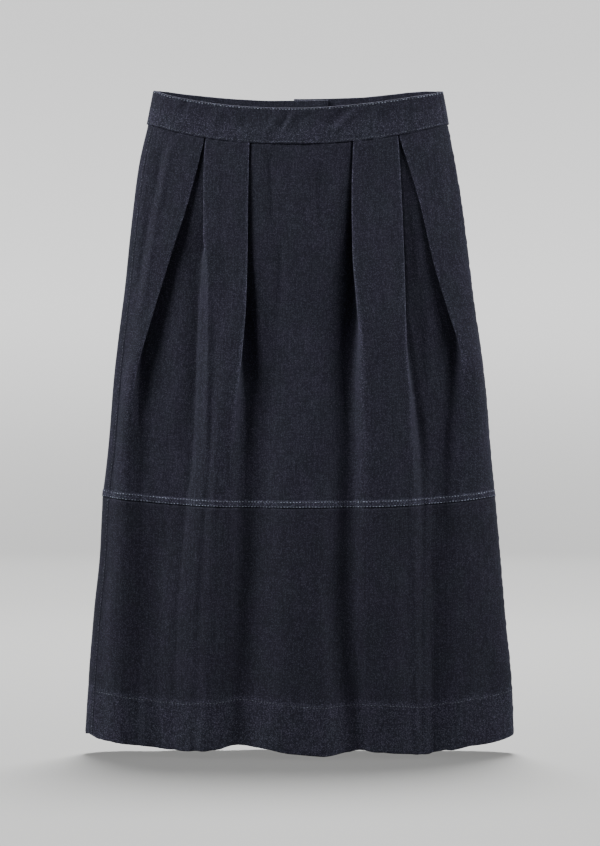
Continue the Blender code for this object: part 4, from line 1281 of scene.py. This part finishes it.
def material_named(name):
    """A finish of the skirt, made once from the panel's colours."""
    if name not in bpy.data.materials:
        FINISHES[name](name, bpy.context.scene.skirt_look)
    return bpy.data.materials[name]


# ---- properties ----

def length_of(name, about, default, low, high):
    return FloatProperty(name=name, description=about, default=default * MM, min=low * MM,
                         max=high * MM, unit="LENGTH")


def colour_of(name, about, default):
    return FloatVectorProperty(name=name, description=about, size=3, default=default, min=0.0,
                               max=1.0, subtype="COLOR")


def power_of(name, about, default):
    return FloatProperty(name=name, description=about, default=default, min=0.0, max=2000.0,
                         unit="POWER")


class SkirtSizes(PropertyGroup):
    cloth: length_of("Cloth", "Thickness of one layer of denim", CLOTH, 0.4, 2.0)
    stitch: length_of("Stitch", "Length of one stitch", 2.2, 1.0, 6.0)
    stitch_gap: length_of("Gap", "Gap between two stitches", 1.8, 0.2, 3.0)
    thread: length_of("Thread", "Thickness of the topstitch thread", 0.75, 0.2, 1.2)


class SkirtLook(PropertyGroup):
    warp: colour_of("Warp", "Indigo of the lengthwise yarn", (0.0092, 0.0095, 0.0165))
    weft: colour_of("Weft", "Pale crosswise yarn", (0.089, 0.090, 0.134))
    thread: colour_of("Thread", "Colour of the topstitching", (0.30, 0.34, 0.43))
    tape: colour_of("Zip tape", "Colour of the zip's tape", (0.030, 0.034, 0.055))
    metal: colour_of("Zip metal", "Colour of the slider and pull", (0.42, 0.40, 0.36))
    # The floor is painted darker than the wall: painted shade on the floor, painted light up the
    # wall.
    floor: colour_of("Floor", "Colour of the studio's floor", (0.255, 0.255, 0.252))
    wall: colour_of("Wall", "Colour where the floor curves up", (0.75, 0.75, 0.75))
    key: power_of("Key lamp", "Power of the lamp at the left", 252.0)
    fill: power_of("Fill lamp", "Power of the lamp at the right", 195.0)
    back: power_of("Back lamps", "Power of each lamp behind the skirt", 50.0)
    top: power_of("Top lamp", "Power of the lamp above and behind", 520.0)
    ground: power_of("Floor lamp", "Power of the lamp on the floor, which casts no shadow", 246.0)
    shade: power_of("Shadow lamp", "Power of the lamp that casts the skirt's shadow", 600.0)
    paper: power_of("Wall lamps", "Power of each lamp on the wall", 272.0)


# ---- operators ----

def dress(item, node, body="skirt"):
    """Attach a piece to the body it rides, and hide the imported node it stands for."""
    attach(item, body)
    if node:
        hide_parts(node)


class SKIRT_OT_waistband(Operator):
    """Build the lapped waistband"""
    bl_idname = "skirt.waistband"
    bl_label = "Waistband"

    def execute(self, context):
        band = make_band(material_named("indigo_denim"))
        dress(band, "waistband")
        return {"FINISHED"}


class SKIRT_OT_upper_panels(Operator):
    """Build the pleated front and the two back panels"""
    bl_idname = "skirt.upper_panels"
    bl_label = "Upper panels"

    def execute(self, context):
        face, reverse = material_named("indigo_denim"), material_named("denim_reverse")
        cloth = context.scene.skirt_sizes.cloth
        for name, cut in (("front_panel", FRONT_CUT), ("back_panel_left", BACK_CUT),
                          ("back_panel_right", BACK_CUT)):
            item = make_upper(name, face, reverse, cloth)
            dress(item, name)
        return {"FINISHED"}


class SKIRT_OT_tiers(Operator):
    """Build the hem tier with its turned-up hem"""
    bl_idname = "skirt.tiers"
    bl_label = "Hem tier"

    def execute(self, context):
        # The tier takes the denim painted darker, as painted shade.
        face, reverse = material_named("tier_denim"), material_named("denim_reverse")
        cloth = context.scene.skirt_sizes.cloth
        for name, cut, above in (("front_tier", FRONT_TIER_CUT, "front_panel"),
                                 ("back_tier", BACK_TIER_CUT, "back_panel_left")):
            item = make_tier(name, face, reverse, cloth)
            dress(item, name)
        return {"FINISHED"}


class SKIRT_OT_stitching(Operator):
    """Lay the rows of topstitching"""
    bl_idname = "skirt.stitching"
    bl_label = "Stitching"

    def execute(self, context):
        sizes = context.scene.skirt_sizes
        # The second thread is the same one painted darker: painted shade.
        bright, shaded_thread = material_named("topstitch_thread"), material_named("plain_thread")
        for item in make_stitching(sizes.stitch, sizes.stitch_gap, sizes.thread, bright, shaded_thread):
            dress(item, None)
        return {"FINISHED"}


class SKIRT_OT_zip(Operator):
    """Build the back zip: tape, coil, slider and pull"""
    bl_idname = "skirt.zip"
    bl_label = "Zip"

    def execute(self, context):
        tape, coil = make_zip_tape(material_named("woven_tape"), material_named("coil_nylon"))
        dress(tape, "zip_tape")
        dress(coil, None)
        metal = material_named("plated_metal")
        dress(softened_copy("zip_slider", metal), "zip_slider")
        dress(softened_copy("zip_pull", metal), "zip_pull", "pull")
        return {"FINISHED"}


# ---- studio ----

Lamp = namedtuple("Lamp", "name place aim size power lights")
LAMPS = table(Lamp,
    ("key_lamp", (-3.1, -1.0, 1.5), (0.0, 0.0, -0.30), 2.0, "key", "skirt"),
    ("fill_lamp", (3.1, -1.0, 1.4), (0.0, 0.0, -0.30), 2.0, "fill", "skirt"),
    ("back_lamp_left", (-1.9, 2.6, 1.9), (0.0, 0.0, -0.45), 1.4, "back", "skirt"),
    ("back_lamp_right", (2.2, 2.5, 1.5), (0.0, 0.0, -0.45), 1.4, "back", "skirt"),
    ("top_lamp", (0.0, 1.9, 3.2), (0.0, -0.2, -0.85), 1.6, "top", "skirt"),
    ("shadow_lamp", (0.15, 1.15, 3.2), (0.0, -0.2, -0.85), 1.5, "shade", "paper and shadow"),
    ("floor_lamp", (0.0, -0.9, 4.4), (0.0, -0.8, -0.85), 3.0, "ground", "paper"),
    ("wall_lamp_left", (-2.2, 2.0, 2.6), (-1.0, 7.4, -0.2), 1.6, "paper", "paper"),
    ("wall_lamp_right", (2.2, 2.0, 2.6), (1.0, 7.4, -0.2), 1.6, "paper", "paper"),
    ("wall_lamp_front_left", (-2.2, -2.0, 2.6), (-1.0, -7.4, -0.2), 1.6, "paper", "paper"),
    ("wall_lamp_front_right", (2.2, -2.0, 2.6), (1.0, -7.4, -0.2), 1.6, "paper", "paper"),
    ("wall_lamp_side_left", (-3.0, 0.0, 2.6), (-7.4, 0.0, -0.2), 1.6, "paper", "paper"),
    ("wall_lamp_side_right", (3.0, 0.0, 2.6), (7.4, 0.0, -0.2), 1.6, "paper", "paper"))
TIER_PAINTED_SHADE = 0.84       # the tier's denim is painted this much darker: painted shade
AIR = 0.08              # light from all round
FLOOR_DROP = 0.853      # just under the hem
FLOOR_RADIUS = 5.0
WALL_CURVE = 2.4
WALL_HEIGHT = 5.0
CAMERA_LENS, CAMERA_SENSOR = 105.6, 36.0
CAMERA_PLACE = (0.00193, -3.2, -0.42666)


def make_paper():
    """A round floor that curves up into a wall. It doesn't colour the skirt with its own light."""
    bm = bmesh.new()
    profile = [(0.0, 0.0), (FLOOR_RADIUS * 0.5, 0.0), (FLOOR_RADIUS, 0.0)]
    profile += [(FLOOR_RADIUS + WALL_CURVE * math.sin(a), WALL_CURVE * (1 - math.cos(a)))
                for a in np.linspace(0.0, math.pi / 2, 13)[1:]]
    profile.append((FLOOR_RADIUS + WALL_CURVE, WALL_HEIGHT))
    verts = [bm.verts.new((x, 0.0, z - FLOOR_DROP)) for x, z in profile]
    edges = [bm.edges.new(pair) for pair in zip(verts, verts[1:])]
    bmesh.ops.spin(bm, geom=verts + edges, cent=(0, 0, 0), axis=(0, 0, 1), dvec=(0, 0, 0),
                   angle=2 * math.pi, steps=96, use_merge=True, use_duplicate=False)
    bmesh.ops.remove_doubles(bm, verts=bm.verts, dist=0.5 * MM)
    for face in bm.faces:
        face.smooth = True
    bmesh.ops.recalc_face_normals(bm, faces=bm.faces)
    if sum(face.normal.z for face in bm.faces) < 0:
        bmesh.ops.reverse_faces(bm, faces=bm.faces)
    paper = new_object("studio_floor", to_mesh(bm, "studio_floor"), material_named("studio_paper"))
    paper.visible_diffuse = False
    return paper


def look_along(way):
    """The turn of a lamp or camera that points along a direction."""
    way = way / np.linalg.norm(way)
    return math.acos(max(-1.0, min(1.0, -way[2]))), 0.0, math.atan2(way[0], -way[1]) + math.pi


def make_lamps(look, paper):
    """The soft lamps: some light all but the paper, the others the paper alone."""
    on_paper, off_paper = (bpy.data.collections.new(name) for name in ("paper", "all_but_paper"))
    for group in (on_paper, off_paper):
        group.objects.link(paper)
    off_paper.collection_objects[0].light_linking.link_state = "EXCLUDE"
    for lamp in LAMPS:
        light = bpy.data.lights.new(lamp.name, "AREA")
        light.shape, light.size = "DISK", lamp.size
        light.energy = getattr(look, lamp.power)
        holder = bpy.data.objects.new(lamp.name, light)
        holder.location = lamp.place
        holder.rotation_euler = look_along(np.array(lamp.aim) - np.array(lamp.place))
        bpy.context.scene.collection.objects.link(holder)
        links = holder.light_linking
        links.receiver_collection = off_paper if lamp.lights == "skirt" else on_paper
        if lamp.lights == "paper":
            links.blocker_collection = on_paper


class SKIRT_OT_studio(Operator):
    """Set up the pale floor that curves up all round, the soft lamps and the camera"""
    bl_idname = "skirt.studio"
    bl_label = "Studio"

    def execute(self, context):
        floor = make_paper()
        make_lamps(context.scene.skirt_look, floor)
        world = bpy.data.worlds.new("studio_air")
        world.use_nodes = True
        air = world.node_tree.nodes["Background"].inputs
        air["Color"].default_value = (1.0, 1.0, 1.0, 1.0)
        air["Strength"].default_value = AIR
        context.scene.world = world
        camera = bpy.data.cameras.new("camera")
        camera.lens, camera.sensor_width = CAMERA_LENS, CAMERA_SENSOR
        view = bpy.data.objects.new("camera", camera)
        view.location = CAMERA_PLACE
        view.rotation_euler = (math.pi / 2, 0.0, 0.0)
        context.scene.collection.objects.link(view)
        context.scene.camera = view
        return {"FINISHED"}


class SKIRT_PT_panel(Panel):
    bl_label = "Denim Skirt"
    bl_idname = "SKIRT_PT_panel"
    bl_space_type = "VIEW_3D"
    bl_region_type = "UI"
    bl_category = "Skirt"

    def draw(self, context):
        layout = self.layout
        for group in (context.scene.skirt_sizes, context.scene.skirt_look):
            for name in group.bl_rna.properties.keys():
                if name not in {"rna_type", "name"}:
                    layout.prop(group, name)
        for operator in OPERATORS:
            layout.operator(operator.bl_idname)


OPERATORS = (SKIRT_OT_studio, SKIRT_OT_waistband, SKIRT_OT_upper_panels, SKIRT_OT_tiers,
             SKIRT_OT_stitching, SKIRT_OT_zip)
CLASSES = (SkirtSizes, SkirtLook, *OPERATORS, SKIRT_PT_panel)


def register():
    for kind in CLASSES:
        bpy.utils.register_class(kind)
    bpy.types.Scene.skirt_sizes = PointerProperty(type=SkirtSizes)
    bpy.types.Scene.skirt_look = PointerProperty(type=SkirtLook)


def unregister():
    del bpy.types.Scene.skirt_look
    del bpy.types.Scene.skirt_sizes
    for kind in reversed(CLASSES):
        bpy.utils.unregister_class(kind)


def main():
    register()
    bpy.ops.skirt.studio()
    bpy.ops.skirt.waistband()
    bpy.ops.skirt.upper_panels()
    bpy.ops.skirt.tiers()
    bpy.ops.skirt.stitching()
    bpy.ops.skirt.zip()


if __name__ == "__main__":
    main()
